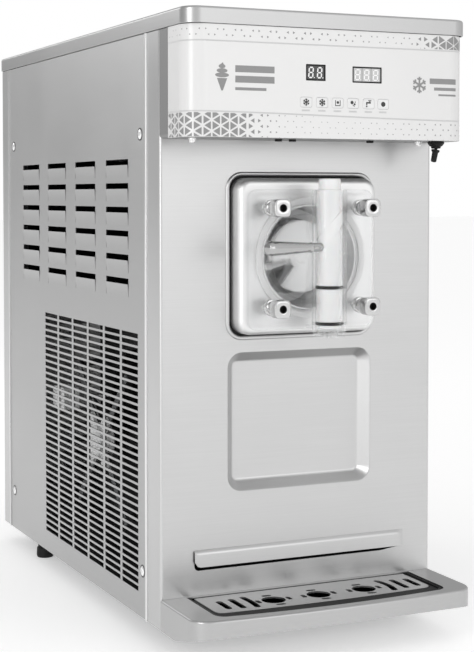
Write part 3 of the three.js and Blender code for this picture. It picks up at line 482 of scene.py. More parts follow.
KEY_FILM = finish("key_film", grey(0.74), 0.30, 0.0, (1600, 1600, 1600), 0.02, 0.04, 0.05)
DARK_GLASS = finish("dark_display", grey(0.035), 0.16, 0.0, EVEN, 0.15, 0.03, 0.0)
LIGHT_GLASS = finish("light_display", grey(0.40), 0.20, 0.0, EVEN, 0.04, 0.03, 0.0)
LIT = finish("lit_segments", grey(0.85), 0.30, 0.0, EVEN, 0.02, 0.03, 0.0)
CLEAR = finish("clear_acrylic", (0.97, 0.98, 0.985), 0.035, 0.0, (25, 25, 25), 0.004, 0.02, 0.0, 6.0,
               Transmission_Weight=1.0, IOR=1.46, Alpha=0.26)
# A lighter copy of the white plastic for the beater: painted light inside the cylinder.
LIT_BEATER_WHITE = finish("white_beater_painted_light", grey(0.95), 0.35, 0.0, SOFT, 0.015, 0.05, 0.05)
WHITE_PLASTIC = finish("white_acetal", grey(0.76), 0.30, 0.0, SOFT, 0.015, 0.05, 0.05,
                       Subsurface_Weight=0.08, Subsurface_Scale=0.004)
KNOB = finish("plated_knob", grey(0.60), 0.16, 1.0, SOFT, 0.02, 0.04, 0.03)
PAN_PLASTIC = finish("pan_moulding", grey(0.003), 0.30, 0.0, EVEN, 0.20, 0.05, 0.05,
                     Specular_IOR_Level=0.03)
BLACK_PLASTIC = finish("black_plastic", grey(0.008), 0.42, 0.0, EVEN, 0.20, 0.06, 0.10,
                       Specular_IOR_Level=0.18)
RUBBER = finish("black_rubber", grey(0.008), 0.55, 0.0, (800, 800, 800), 0.25, 0.10, 0.20,
                Specular_IOR_Level=0.25)
WHITE_RUBBER = finish("white_silicone", grey(0.74), 0.45, 0.0, SOFT, 0.02, 0.05, 0.06)
# A near-black lining for sheets put inside the cabinet behind its slits and holes: painted shade.
SHADE_LINING = finish("painted_shade_lining", grey(0.006), 0.8, 0.0, (600, 600, 600), 0.10, 0.06, 0.10,
              Specular_IOR_Level=0.08)
FOAM = finish("insulating_foam", grey(0.022), 0.85, 0.0, (260, 260, 260), 0.12, 0.06, 0.8)
FLOOR = finish("pale_floor", grey(0.86), 0.7, 0.0, (40, 40, 40), 0.004, 0.05, 0.0,
               Emission_Color=(1, 1, 1, 1), Emission_Strength=0.37)

NODE_FINISH = {
    "base_pan": SHADED_ZINC, "hopper": ZINC, "feed_tube": WHITE_PLASTIC, "cylinder_insulation": FOAM,
    "shaft_seal": RUBBER, "drive_shaft": SATIN_STEEL, "gearbox": CASTING,
    "gearbox_pulley": ALUMINIUM, "motor_pulley": ALUMINIUM, "drive_motor": CASTING,
    "drive_belt": RUBBER, "compressor": BLACK_PAINT,
    **{f"{corner}_post": SHADED_ZINC
       for corner in ("front_left", "front_right", "rear_left", "rear_right")},
}
for node_name, surface in NODE_FINISH.items():
    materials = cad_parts[node_name].data.materials
    materials.clear()
    materials.append(surface)


# ---- Camera, floor and light -----------------------------------------------------------------
CAMERA = SimpleNamespace(place=(-0.8144, -1.8702, 0.5286), tilt=87.813, turn=-24.553,
                         lens=83.4, sensor=36, shift=-0.1121)
SKY = SimpleNamespace(to_right=0.35, to_back=-0.8, low=-1.0, high=0.9, dark=0.34, light=1.0)
# name, place and aim in metres, width, height, watts
SOFTBOXES = (
    ("key", (0.9, -3.1, 1.2), (0, -0.2, 0.4), 1.5, 1.5, 6.5),
    ("fill", (-2.5, -1.5, 1.2), (-0.1, -0.1, 0.4), 1.0, 1.8, 20),
    ("back", (-1.3, 2.4, 1.6), (-0.2, 0, 0.6), 1.2, 0.9, 8),
)


def camera():
    data = bpy.data.cameras.new("camera")
    data.sensor_width = CAMERA.sensor
    data.lens = CAMERA.lens
    data.shift_y = CAMERA.shift
    made = new_object("camera", data)
    made.location = CAMERA.place
    made.rotation_euler = Euler((math.radians(CAMERA.tilt), 0, math.radians(CAMERA.turn)))
    bpy.context.scene.camera = made


def studio_floor():
    mesh = bpy.data.meshes.new("floor")
    reach = 30
    corners = [(-reach, -reach, 0), (reach, -reach, 0), (reach, reach, 0), (-reach, reach, 0)]
    mesh.from_pydata(corners, [], [(0, 1, 2, 3)])
    mesh.materials.append(FLOOR)
    new_object("floor", mesh)


def softbox(name, place, aim, width, height, power):
    data = bpy.data.lights.new(name, "AREA")
    data.shape = "RECTANGLE"
    data.size = width
    data.size_y = height
    data.energy = power
    made = new_object(name, data)
    made.location = place
    made.rotation_mode = "QUATERNION"
    made.rotation_quaternion = (Vector(aim) - Vector(place)).to_track_quat("-Z", "Y")


def studio_world():
    """White to the front and the right, and greyer towards the back."""
    world = bpy.data.worlds.new("studio")
    bpy.context.scene.world = world
    world.use_nodes = True
    tree = world.node_tree
    link = tree.links.new
    sky = tree.nodes["Background"]
    place = shader_node(tree, "TexCoord")
    split = shader_node(tree, "SeparateXYZ")
    link(place.outputs["Generated"], split.inputs["Vector"])
    lean = shader_node(tree, "Math", {1: SKY.to_right}, "MULTIPLY_ADD")
    link(split.outputs["X"], lean.inputs[0])
    turn = shader_node(tree, "Math", {1: SKY.to_back}, "MULTIPLY")
    link(split.outputs["Y"], turn.inputs[0])
    link(turn.outputs["Value"], lean.inputs[2])
    tone = shader_node(tree, "MapRange", {"From Min": SKY.low, "From Max": SKY.high,
                                          "To Min": SKY.dark, "To Max": SKY.light})
    link(lean.outputs["Value"], tone.inputs["Value"])
    rays = shader_node(tree, "LightPath")
    seen = shader_node(tree, "Math", operation="MAXIMUM")
    link(rays.outputs["Is Camera Ray"], seen.inputs[0])
    link(tone.outputs["Result"], seen.inputs[1])
    link(seen.outputs["Value"], sky.inputs["Color"])
    sky.inputs["Strength"].default_value = 1.0


camera()
studio_floor()
studio_world()
bpy.context.scene.view_settings.view_transform = "Standard"
for light in SOFTBOXES:
    softbox(*light)

# ---- Cabinet ---------------------------------------------------------------------------------
PANEL = span("left_panel")
FRONT = span("front_panel")
COVER = span("top_cover")
PLATE = span("face_plate")
HALF = FRONT.x1
FLANGE = 9
MACHINE_AXES = about_z(0, 0)


def screw_head(steps=20):
    """A pan head with a cross recess. It stands on the plane of its own X and Y."""
    dome = [(0, -0.4), (3.9, -0.4), (4.0, 0.3), (3.5, 0.95), (2.4, 1.38), (1.2, 1.53), (0, 1.55)]
    head = Shape().turn(dome, MACHINE_AXES, steps)
    cross = boolean(box(-1.9, 1.9, -0.4, 0.4, 0.8, 3), box(-0.4, 0.4, -1.9, 1.9, 0.7, 3.2),
                    operation="UNION")
    return boolean(head, cross)


PAN_HEAD = screw_head()
SHADE_WASHER_RING = Shape().turn([(4.05, -0.3), (5.3, -0.3), (5.3, 0.25), (4.05, 0.35)],
                           MACHINE_AXES, 24)


def screws(name, places, facing, size=1.0):
    """Pan heads on dark washers, at (x, y, z) places, whose tops look along an axis. The dark washers
    are painted shade round each head.
    """
    turn = Vector((0, 0, 1)).rotation_difference(Vector(facing)).to_matrix()
    heads = Shape()
    rings = Shape()
    for number, place in enumerate(places):
        spin = Matrix.Rotation(math.radians(25 + 37 * number), 3, "Z")

        def put(p, place=place, spin=spin):
            return Vector(place) + turn @ (spin @ Vector((p[0] * size, p[1] * size, p[2])))

        heads.join(PAN_HEAD.moved(put))
        rings.join(SHADE_WASHER_RING.moved(put))
    piece(f"{name}_screws", heads, SCREW_ZINC)
    piece(f"{name}_washers", rings, SHADE_WASHER)


def bent_sheet(face, inwards, reach):
    """The section of a panel folded round both sides, with a small flange behind each side."""
    edge = face + inwards * reach
    path = [
        (-HALF + FLANGE, edge, 0), (-HALF, edge, 2.2), (-HALF, face, 4),
        (HALF, face, 4), (HALF, edge, 2.2), (HALF - FLANGE, edge, 0),
    ]
    side = 1 if inwards > 0 else -1
    outer = filleted(path, 4, 6, closed=False)
    inner_path = [(*p, max(q[2] - SHEET, 0.5)) for p, q in zip(offset(path, side * SHEET), path)]
    inner = filleted(inner_path, 2.5, 6, closed=False)
    return outer + inner[::-1]


RECESS = SimpleNamespace(half=95.2, low=153, high=316.8, slope=11.5, depth=14, corner=18)
HOOD = SimpleNamespace(left=-138, right=142, top=88.7, low=69, stand=4.2)
SLIT = SimpleNamespace(inset=1.5, low=64.4, high=79, corner=5.5)
SHADE_BAFFLE = SimpleNamespace(overlap=5, y0=9, y1=10.2, low=50, high=100)
OPENING_GAP = 2.5
RIM = 5
HEAD_OPENING = (-140, 590, 140, 660)
CUT_FRONT, CUT_BACK = -2, 4


def front_panel():
    sheet = Shape().prism(bent_sheet(0, 1, FRONT.y1), FRONT.z0, FRONT.z1)
    half = PLATE.x1 + OPENING_GAP
    low, high = PLATE.z0 - OPENING_GAP, PLATE.z1 + OPENING_GAP
    corner = 15.6

    def opening(inset):
        return rounded(-half - RIM, low - RIM, half + RIM, high + RIM, corner + RIM, inset, 10)

    def recess(inset):
        return rounded(-RECESS.half, RECESS.low, RECESS.half, RECESS.high, RECESS.corner, inset, 10)

    slit_left, slit_right = HOOD.left + 0.6, HOOD.right - SLIT.inset
    slit = filleted([(slit_left, SLIT.high, 1), (slit_left, SLIT.low, SLIT.corner),
                     (slit_right - 30, SLIT.low + 0.4, 3), (slit_right, SLIT.low + 4.2, 0.6),
                     (slit_right, SLIT.high, 1)], 1, 6)
    holes = (opening(RIM - 0.6), recess(0), slit, rounded(*HEAD_OPENING, 8))
    sheet = boolean(sheet, *(Shape().prism(hole, CUT_FRONT, CUT_BACK, at_y) for hole in holes))

    bead = [(RIM / 2 + RIM / 2 * math.cos(a), 0.2 - 2.7 * math.sin(a)) for a in
            (math.pi * i / 10 for i in range(11))]
    sheet.join(stack(opening, bead + [(0.2, 1.2), (RIM, 3.0)], at_y, closed=True))

    wall = RECESS.slope
    inner = filleted([(-4, 0, 0), (0, 0, 3.5), (wall, RECESS.depth, 5), (wall + 12, RECESS.depth, 0)],
                     4, 6, closed=False)[1:]
    outer = [(inset + 0.9, y + SHEET) for inset, y in inner]
    sheet.join(stack(recess, inner[::-1] + outer, at_y))

    def hood(u, v):
        x = HOOD.left + (HOOD.right - HOOD.left) * u
        right = 1 - ease(u, 0.975, 1.0) * 0.93
        out = HOOD.stand * (0.8 + 0.2 * v) * ease(v, 0, 0.16) * right
        lift = 6 * (1 - min(u / 0.022, 1)) ** 2 * v
        return (x, -max(out, 0.2), HOOD.top - (HOOD.top - HOOD.low) * v + lift)

    sheet.sheet(hood, 80, 10, (0, 1.3, 0))
    piece("front_panel_sheet", sheet, BRUSHED_FRONT_LIT, replaces=["front_panel"])
    # A dark sheet behind the slit under the hood: painted shade, so that the slit reads black.
    left, right = HOOD.left - SHADE_BAFFLE.overlap, HOOD.right + SHADE_BAFFLE.overlap
    hood_shade_sheet = box(left, right, SHADE_BAFFLE.y0, SHADE_BAFFLE.y1, SHADE_BAFFLE.low, SHADE_BAFFLE.high)
    piece("hood_shade_baffle", hood_shade_sheet, SHADE_LINING)


LOUVRE = SimpleNamespace(first=101.7, pitch_y=119.6, width=79, columns=4, top=544, pitch_z=28.75,
                         rows=6, slot=7, flap=15, stand=1.05, side=0.9)
GRILLE = SimpleNamespace(first=70.5, pitch_y=62, width=54.8, columns=6, low=29.1, pitch_z=8.62,
                         rows=36, slot=5.7)
SIDE_SCREWS = ((587.5, 572.8), (62, 572.1), (56.7, 56.3), (591.8, 57.1))
SIDE_SCREW_SIZE = 1.45


def pierced(x0, x1, y_range, z_range, holes):
    """A flat sheet along Y and Z with rectangular holes of (y0, y1, z0, z1)."""
    ys = sorted({*y_range, *(h[0] for h in holes), *(h[1] for h in holes)})
    zs = sorted({*z_range, *(h[2] for h in holes), *(h[3] for h in holes)})
    row_of = {z: j for j, z in enumerate(zs)}
    column_of = {y: i for i, y in enumerate(ys)}
    empty = set()
    for y0, y1, z0, z1 in holes:
        for i in range(column_of[y0], column_of[y1]):
            empty.update((i, j) for j in range(row_of[z0], row_of[z1]))
    wide, tall = len(ys), len(zs)
    points = [(x, y, z) for x in (x0, x1) for z in zs for y in ys]
    back = wide * tall

    def is_solid(i, j):
        return 0 <= i < wide - 1 and 0 <= j < tall - 1 and (i, j) not in empty

    faces = []
    for j in range(tall - 1):
        for i in range(wide - 1):
            if not is_solid(i, j):
                continue
            a = j * wide + i
            b, c, d = a + 1, a + 1 + wide, a + wide
            faces.append((a, b, c, d))
            faces.append((d + back, c + back, b + back, a + back))
            for near, far, (m, n) in ((a, b, (i, j - 1)), (b, c, (i + 1, j)),
                                      (c, d, (i, j + 1)), (d, a, (i - 1, j))):
                if not is_solid(m, n):
                    faces.append((far, near, near + back, far + back))
    used = sorted({i for face in faces for i in face})
    new = {old: k for k, old in enumerate(used)}
    return Shape().add([points[i] for i in used], [tuple(new[i] for i in f) for f in faces])


def side_panel(side):
    name = "left" if side < 0 else "right"
    outer = side * HALF
    inner = side * (HALF - SHEET)
    bend = 2.4
    holes = []
    flaps = Shape()
    for column in range(LOUVRE.columns):
        y0 = LOUVRE.first + column * LOUVRE.pitch_y
        for row in range(LOUVRE.rows):
            top = LOUVRE.top - row * LOUVRE.pitch_z
            lip = top - LOUVRE.slot
            low = lip - LOUVRE.flap
            holes.append((y0, y0 + LOUVRE.width, round(low, 3), round(top, 3)))

            def flap(u, v, y0=y0, lip=lip):
                outwards = LOUVRE.stand * (1 - v) ** 2.2
                y = y0 + LOUVRE.side + (LOUVRE.width - 2 * LOUVRE.side) * u
                return (side * (HALF + outwards), y, lip - LOUVRE.flap * v)

            flaps.sheet(flap, 4, 8, (-side * 1.2, 0, 0))
    for column in range(GRILLE.columns):
        y0 = GRILLE.first + column * GRILLE.pitch_y
        for row in range(GRILLE.rows):
            z0 = GRILLE.low + row * GRILLE.pitch_z
            holes.append((y0, y0 + GRILLE.width, round(z0, 3), round(z0 + GRILLE.slot, 3)))
    sheet = pierced(outer, inner, (PANEL.y0 + bend, PANEL.y1 - bend), (PANEL.z0, PANEL.z1), holes)
    # A dark sheet inside the panel behind every hole: painted shade, so that the louvres and the
    # grille read dark.
    panel_shade_sheet = pierced(inner, inner - side * 0.4, (PANEL.y0 + 12, PANEL.y1 - 12),
                   (PANEL.z0 + 4, PANEL.z1 - 4), holes)
    piece(f"{name}_panel_shade_coat", panel_shade_sheet, SHADE_LINING)
    sheet.join(flaps)
    # The folded edges get a lighter steel than the sheet: a painted highlight along each fold.
    highlight_edges = Shape()
    for edge, inwards in ((PANEL.y0, 1), (PANEL.y1, -1)):
        path = [(outer, edge + inwards * bend, 0), (outer, edge, 2.2),
                (outer - side * FLANGE, edge, 0)]
        turn = side * inwards
        rim = filleted(path, bend, 6, closed=False)
        inner_path = [(*p, 0.8) for p in offset(path, turn * SHEET)]
        highlight_edges.prism(rim + filleted(inner_path, 0.8, 6, closed=False)[::-1], PANEL.z0, PANEL.z1)
    piece(f"{name}_panel_highlight_edges", highlight_edges, HIGHLIGHT_EDGE_STEEL)
    piece(f"{name}_panel_sheet", sheet, BRUSHED_SIDE_SHADED, replaces=[f"{name}_panel"])
    places = [(outer, y, z) for y, z in SIDE_SCREWS]
    screws(f"{name}_panel", places, (side, 0, 0), SIDE_SCREW_SIZE)


def rear_panel():
    vents = SimpleNamespace(half=130, low=60, pitch=22, count=12, slot=8)
    gland = span("power_gland")
    section = bent_sheet(DEPTH, -1, DEPTH - span("rear_panel").y0)
    sheet = Shape().prism(section, FRONT.z0, FRONT.z1)
    cutters = Shape()
    hoods = Shape()
    for row in range(vents.count):
        z = vents.low + row * vents.pitch
        vent = slot(-vents.half + 4, z + 4, vents.half - 4, z + 4, vents.slot / 2)
        cutters.prism(vent, DEPTH - 6, DEPTH + 2, at_y)

        def hood(u, v, z=z):
            ends = max(1 - abs(2 * u - 1) ** 24, 0) ** 0.5
            out = 5.0 * (v ** 1.4) * ends
            x = -vents.half + 2 * vents.half * u
            return (x, DEPTH + 0.1 - out, z + vents.slot + 5 - 15 * v)

        hoods.sheet(hood, 60, 6, (0, -1.2, 0))
    lead = rod(9, DEPTH - 6, DEPTH + 2, about_y(gland.cx, gland.cz), 32)
    sheet = boolean(sheet, cutters, lead)
    sheet.join(hoods)
    piece("rear_panel_sheet", sheet, BRUSHED_FRONT_LIT, replaces=["rear_panel"])
    behind = DEPTH - SHEET
    middle = 345
    # A dark sheet behind the vents: painted shade inside the cabinet.
    vent_shade_sheet = box(-172, 172, behind - 0.5, behind - 0.1, middle, 700)
    piece("rear_shade_lining", vent_shade_sheet, SHADE_LINING)
    places = [(x, DEPTH, z) for x in (-165, 0, 165) for z in (18, 670)]
    places += [(x, DEPTH, middle) for x in (-165, 165)]
    screws("rear_panel", places, (0, 1, 0))


def top_cover():
    hopper = span("hopper")
    rim = 9
    mouth = SimpleNamespace(x0=hopper.x0 + rim - 1, x1=hopper.x1 - rim + 1,
                            y0=hopper.y0 + rim - 1, y1=hopper.y1 - rim + 1)

    def plan(inset):
        x0, x1 = COVER.x0 + inset, COVER.x1 - inset
        y0, y1 = COVER.y0 + inset, COVER.y1 - inset
        front, back = max(20 - inset, 1), max(6 - inset, 1)
        return [
            *arc(x1 - front, y0 + front, front, -90, 0, 10),
            *arc(x1 - back, y1 - back, back, 0, 90, 10),
            *arc(x0 + back, y1 - back, back, 90, 180, 10),
            *arc(x0 + front, y0 + front, front, 180, 270, 10),
        ]

    hole = rounded(mouth.x0, mouth.y0, mouth.x1, mouth.y1, 25, 0, 10)
    rings = [at_z(plan(inset), z) for inset, z in rounded_ends(COVER.z0, COVER.z1, 0.5, 3.0, 5)]
    rings += [at_z(hole, COVER.z1), at_z(hole, COVER.z1 - SHEET)]
    inside = ((4, COVER.z1 - SHEET), (2.2, COVER.z1 - 2.4), (SHEET, COVER.z1 - 4),
              (SHEET, COVER.z0))
    rings += [at_z(plan(inset), z) for inset, z in inside]
    shell = Shape().skin(rings, closed=True)
    piece("top_cover_pressing", shell, BRUSHED_TOP_SHADED, replaces=["top_cover"])


def feet():
    for name in ("front_left", "front_right", "rear_left", "rear_right"):
        foot = span(f"{name}_foot")
        radius = foot.x1 - foot.cx
        made = turned([
            (0, foot.z0, 0), (radius - 1, foot.z0, 1.5), (radius, foot.z0 + 4, 1),
            (radius - 0.6, foot.z0 + 14, 1), (radius - 2.2, foot.z0 + 15.5, 0.8),
            (radius - 2.4, foot.z1 - 3, 0.8), (radius - 1.2, foot.z1 - 2, 0.6),
            (radius - 1.2, foot.z1, 0.5), (0, foot.z1, 0)], 1, about_z(foot.cx, foot.cy), 48)
        piece(f"{name}_rubber_foot", made, RUBBER, replaces=[f"{name}_foot"])


front_panel()
side_panel(-1)
side_panel(1)
rear_panel()
top_cover()
feet()

# ---- Freezing cylinder, face plate and door --------------------------------------------------
CYLINDER = span("freezing_cylinder")
DOOR = span("door")
PISTON = span("draw_piston")
AXIS_Z = CYLINDER.cz
VALVE_Y = PISTON.cy
ROUND_CYLINDER = about_y(0, AXIS_Z)
ROUND_VALVE = about_z(0, VALVE_Y)
DOOR_BACK = -24.6
DOOR_EDGE = -30.5
DOOR_FRONT = -36.6
TUBE = SimpleNamespace(radius=20.3, bore=16.8, low=345.5, top=506.6)
SCREW_NODES = {name: span(f"{name}_hand_screw")
               for name in ("upper_left", "upper_right", "lower_left", "lower_right")}


def freezing_cylinder():
    bore, outer = 60, CYLINDER.x1
    back = CYLINDER.y1
    hole = 12.2
    tube = hoop([
        (bore, CYLINDER.y0, 0.6), (outer, CYLINDER.y0, 0.6), (outer, back, 1.5),
        (hole, back, 0.5), (hole, back - 3, 0.5), (bore, back - 3, 2)], 0.5, ROUND_CYLINDER, 96)
    piece("cylinder_barrel", tube, LIT_BARREL_STEEL, replaces=["freezing_cylinder"])


def face_plate():
    front = CYLINDER.y0
    back = PLATE.y1
    edge = 8

    def outline(inset):
        return rounded(PLATE.x0, PLATE.z0, PLATE.x1, PLATE.z1, 16, inset, 10)

    levels = [(0, back)]
    levels += [(inset, -y) for inset, y in rounded_ends(-front - 40, -front, 0, edge, 10)[1:]]
    shell = boolean(
        stack(outline, levels, at_y),
        Shape().prism(outline(2.5), front + 2.5, back + 2, at_y),
        rod(CYLINDER.x1 + 0.4, front - 2, front + 6, ROUND_CYLINDER, 96),
    )
    # A dark ring behind the gap round the plate: painted shade, so that the gap reads as a dark line.
    gap_shade_ring = stack(outline, ((-7, 2.6), (-7, 3.8), (0.5, 3.8), (0.5, 2.6)), at_y, closed=True)
    piece("plate_gap_shade_ring", gap_shade_ring, RUBBER)
    for screw in SCREW_NODES.values():
        stud = [(0, front + 1), (4, front + 1), (4, PLATE.y0 + 0.8), (3.2, PLATE.y0), (0, PLATE.y0)]
        shell.turn(stud, about_y(screw.cx, screw.cz), 24)
    piece("cylinder_face_plate", shell, PRESSED_STEEL, replaces=["face_plate"])


HANDLE_ANGLE = -166
HANDLE_TURN = 105
HANDLE_LIFT = 36
HANDLE_Z = span("draw_handle").cz


def helical_slot(half_width, inner, outer, steps=30):
    """The handle's slot, as sections across its path between two radii."""
    travel = math.radians(HANDLE_TURN) * TUBE.radius
    length = math.hypot(travel, HANDLE_LIFT)
    turn, rise = travel / length, HANDLE_LIFT / length
    rings = []
    for i in range(steps + 1):
        along = -half_width + (length + 2 * half_width) * i / steps
        beyond = max(-along, along - length, 0)
        across = math.sqrt(max(half_width ** 2 - beyond ** 2, 0.04))

        def corner(side, radius, along=along, across=across):
            around = along * turn - side * across * rise
            angle = math.radians(HANDLE_ANGLE) + around / TUBE.radius
            height = HANDLE_Z + along * rise + side * across * turn
            return (radius * math.cos(angle), VALVE_Y + radius * math.sin(angle), height)

        rings.append([corner(-1, inner), corner(-1, outer), corner(1, outer), corner(1, inner)])
    return Shape().skin(rings)


def door():
    def outline(inset):
        return rounded(DOOR.x0, DOOR.z0, DOOR.x1, DOOR.z1, 12, inset, 8)

    steps = [(0.5, DOOR_BACK), (0, DOOR_BACK - 0.6), (0, DOOR_EDGE + 0.9), (0.4, DOOR_EDGE),
             (1.2, DOOR_EDGE - 0.5), (3.6, DOOR_EDGE - 0.7), (4.3, DOOR_EDGE - 1.4),
             (6.2, DOOR_FRONT + 0.9), (6.8, DOOR_FRONT + 0.2), (7.6, DOOR_FRONT)]
    plate = stack(outline, steps, at_y)
    plug = hoop([(50, -27), (59.2, -27), (59.2, -8, 1.5), (50, -8, 1.5)], 0.2, ROUND_CYLINDER, 96)
    spine = Shape().prism(rounded(-12, VALVE_Y, 12, DOOR_FRONT + 2, 2.5, 0, 4),
                          TUBE.low + 0.6, 499.5)
    tube = turned([(0, TUBE.low, 0), (TUBE.radius, TUBE.low, 0.8), (TUBE.radius, TUBE.top, 1.6),
                   (0, TUBE.top, 0)], 1, ROUND_VALVE, 72)
    body = boolean(plate, plug, spine, tube, operation="UNION")
    bore = rod(TUBE.bore, TUBE.low - 3, TUBE.top + 3, ROUND_VALVE, 72)
    port = rod(9, VALVE_Y, DOOR_BACK + 3, about_y(0, 376), 32)
    seal = span("door_seal")
    groove = Shape().turn([(64.2, seal.y0 - 0.3), (71.2, seal.y0 - 0.3), (71.2, DOOR_BACK + 2),
                           (64.2, DOOR_BACK + 2)], ROUND_CYLINDER, 96)
    cutters = [bore, port, groove, helical_slot(7.0, 12, 26)]
    for screw in SCREW_NODES.values():
        cutters.append(rod(4.4, DOOR_FRONT - 3, DOOR_BACK + 3, about_y(screw.cx, screw.cz), 24))
    piece("clear_door", boolean(body, *cutters), CLEAR, replaces=["door"], angle=24)

    ring = [(64.4, seal.y0), (71, seal.y0), (71, seal.y1), (64.4, seal.y1)]
    gasket = hoop(ring, 0.7, ROUND_CYLINDER, 96)
    piece("door_gasket", gasket, WHITE_RUBBER, replaces=["door_seal"])


def star_nozzle():
    nozzle = span("star_nozzle")
    radius = nozzle.x1
    points = 6
    star = []
    for i in range(points * 2):
        r = 6.5 if i % 2 else 12.5
        a = math.pi * i / points
        star.append((r * math.cos(a), VALVE_Y + r * math.sin(a), 0.8))
    star = filleted(star, 0.8, 3)
    disc = turned([(0, nozzle.z0, 0), (radius - 1, nozzle.z0, 1.5), (radius, nozzle.z1, 1.2),
                   (0, nozzle.z1, 0)], 1, ROUND_VALVE, 64)
    cap = boolean(disc, Shape().prism(star, nozzle.z0 - 2, nozzle.z1 + 2))
    piece("star_cap", cap, CLEAR, replaces=["star_nozzle"], angle=24)


def draw_valve():
    radius = PISTON.x1 + 0.2
    middle = 14.6
    ring_radius = (span("lower_o_ring").z1 - span("lower_o_ring").z0) / 2 + 0.2
    grooves = [span("lower_o_ring").cz, span("upper_o_ring").cz]
    split = span("piston_head").z0
    pin = 5
    notch = ring_radius + 0.25
    floor = middle - ring_radius - 0.2
    corners = [(0, PISTON.z0, 0), (radius, PISTON.z0, 1.5)]
    for z in grooves:
        corners += [(radius, z - notch, 0.3), (floor, z - notch, 0.3),
                    (floor, z + notch, 0.3), (radius, z + notch, 0.3)]
    corners += [(radius, split - 0.06, 0.05), (pin, split - 0.06, 0.3), (pin, PISTON.z1, 1),
                (0, PISTON.z1, 0)]
    lower = turned(corners, 0.5, ROUND_VALVE, 64, 3)
    piece("piston_barrel", lower, WHITE_PLASTIC, "plunger", ["draw_piston"])
    for name, z in zip(("lower", "upper"), grooves):
        ring = Shape().turn(circle(middle, z, ring_radius, 14), ROUND_VALVE, 64)
        piece(f"{name}_ring_seal", ring, RUBBER, "plunger", [f"{name}_o_ring"])

    head = span("piston_head")
    bore = pin + 0.4
    profile = filleted([
        (bore, head.z0, 0.3), (radius, head.z0, 0.05), (radius, TUBE.top - 0.2, 0.8),
        (12.7, TUBE.top + 0.4, 0.6), (12.7, head.z1, 2.0), (3.5, head.z1, 0.8),
        (3.0, head.z1 - 2, 0.5), (0, head.z1 - 2, 0)], 0.5, 4, closed=False)
    outline = [(0, PISTON.z1 + 2), (bore, PISTON.z1 + 2)] + profile
    upper = Shape().turn(outline, ROUND_VALVE, 64)
    aim = math.radians(HANDLE_ANGLE)
    along = Vector((math.cos(aim), math.sin(aim), 0))
    across = Vector((-math.sin(aim), math.cos(aim), 0))
    centre = Vector((0, VALVE_Y, HANDLE_Z))

    def on_handle(a, b, h):
        return tuple(centre + along * h + across * a + Vector((0, 0, b)))

    top = boolean(upper, rod(5.3, 7.5, 30, on_handle, 32))
    piece("piston_top", top, WHITE_PLASTIC, "handle", ["piston_head"])
    grip = turned([
        (0, 8, 0), (5, 8, 0.4), (5, 26.5, 0.6), (6.0, 28.5, 0.8), (5.4, 31.5, 1.5), (8.0, 80, 6),
        (8.45, 88, 3.5), (6.6, 92.6, 2.4), (0, 93, 0)], 1, on_handle, 64, 6)
    piece("polished_handle", grip, POLISHED_STEEL, "handle", ["draw_handle"])


def hand_screws():
    for name, node in SCREW_NODES.items():
        reach = node.y1 - node.y0
        bore = 4.35

        def section(half, power, depth, node=node):
            ring = []
            for i in range(48):
                a = math.tau * (i + 0.5) / 48
                c, s = math.cos(a), math.sin(a)
                scale = half / (abs(c) ** power + abs(s) ** power) ** (1 / power)
                ring.append((node.cx + scale * c, node.y1 - depth, node.cz + scale * s))
            return ring

        stages = [(bore, 2, 0), (9.0, 2, 0), (9.4, 2, 0.5), (9.4, 2, 5.2), (9.0, 2, 5.8),
                  (7.6, 2, 6.2), (7.3, 2, 6.8), (7.3, 2.1, 12.5), (7.8, 2.4, 14.6),
                  (9.2, 3.0, 18.0), (10.2, 3.6, 20.6), (10.5, 3.9, 22.5), (10.5, 3.9, reach - 2.2),
                  (10.2, 3.8, reach - 1.0), (9.4, 3.6, reach - 0.25), (8.2, 3.4, reach),
                  (5.4, 2, reach), (4.6, 2, reach - 0.4), (bore, 2, reach - 1.2)]
        knob = Shape().skin([section(*stage) for stage in stages], closed=True)
        piece(f"{name}_knob", knob, KNOB, f"{name}_screw", [f"{name}_hand_screw"])
        # A black cup lining each knob's bore: painted shade, so that the hole reads black.
        mouth, floor = node.y0 + 1.4, PLATE.y0 - 0.5
        bore_shade_cup = turned([(0, floor - 1, 0), (3.7, floor - 1, 0.3), (3.9, mouth, 0.1), (4.3, mouth, 0.1),
                      (4.3, floor, 0.3), (0, floor, 0)], 0.2, about_y(node.cx, node.cz), 28, 3)
        piece(f"{name}_socket", bore_shade_cup, BLACK_PLASTIC, f"{name}_screw")


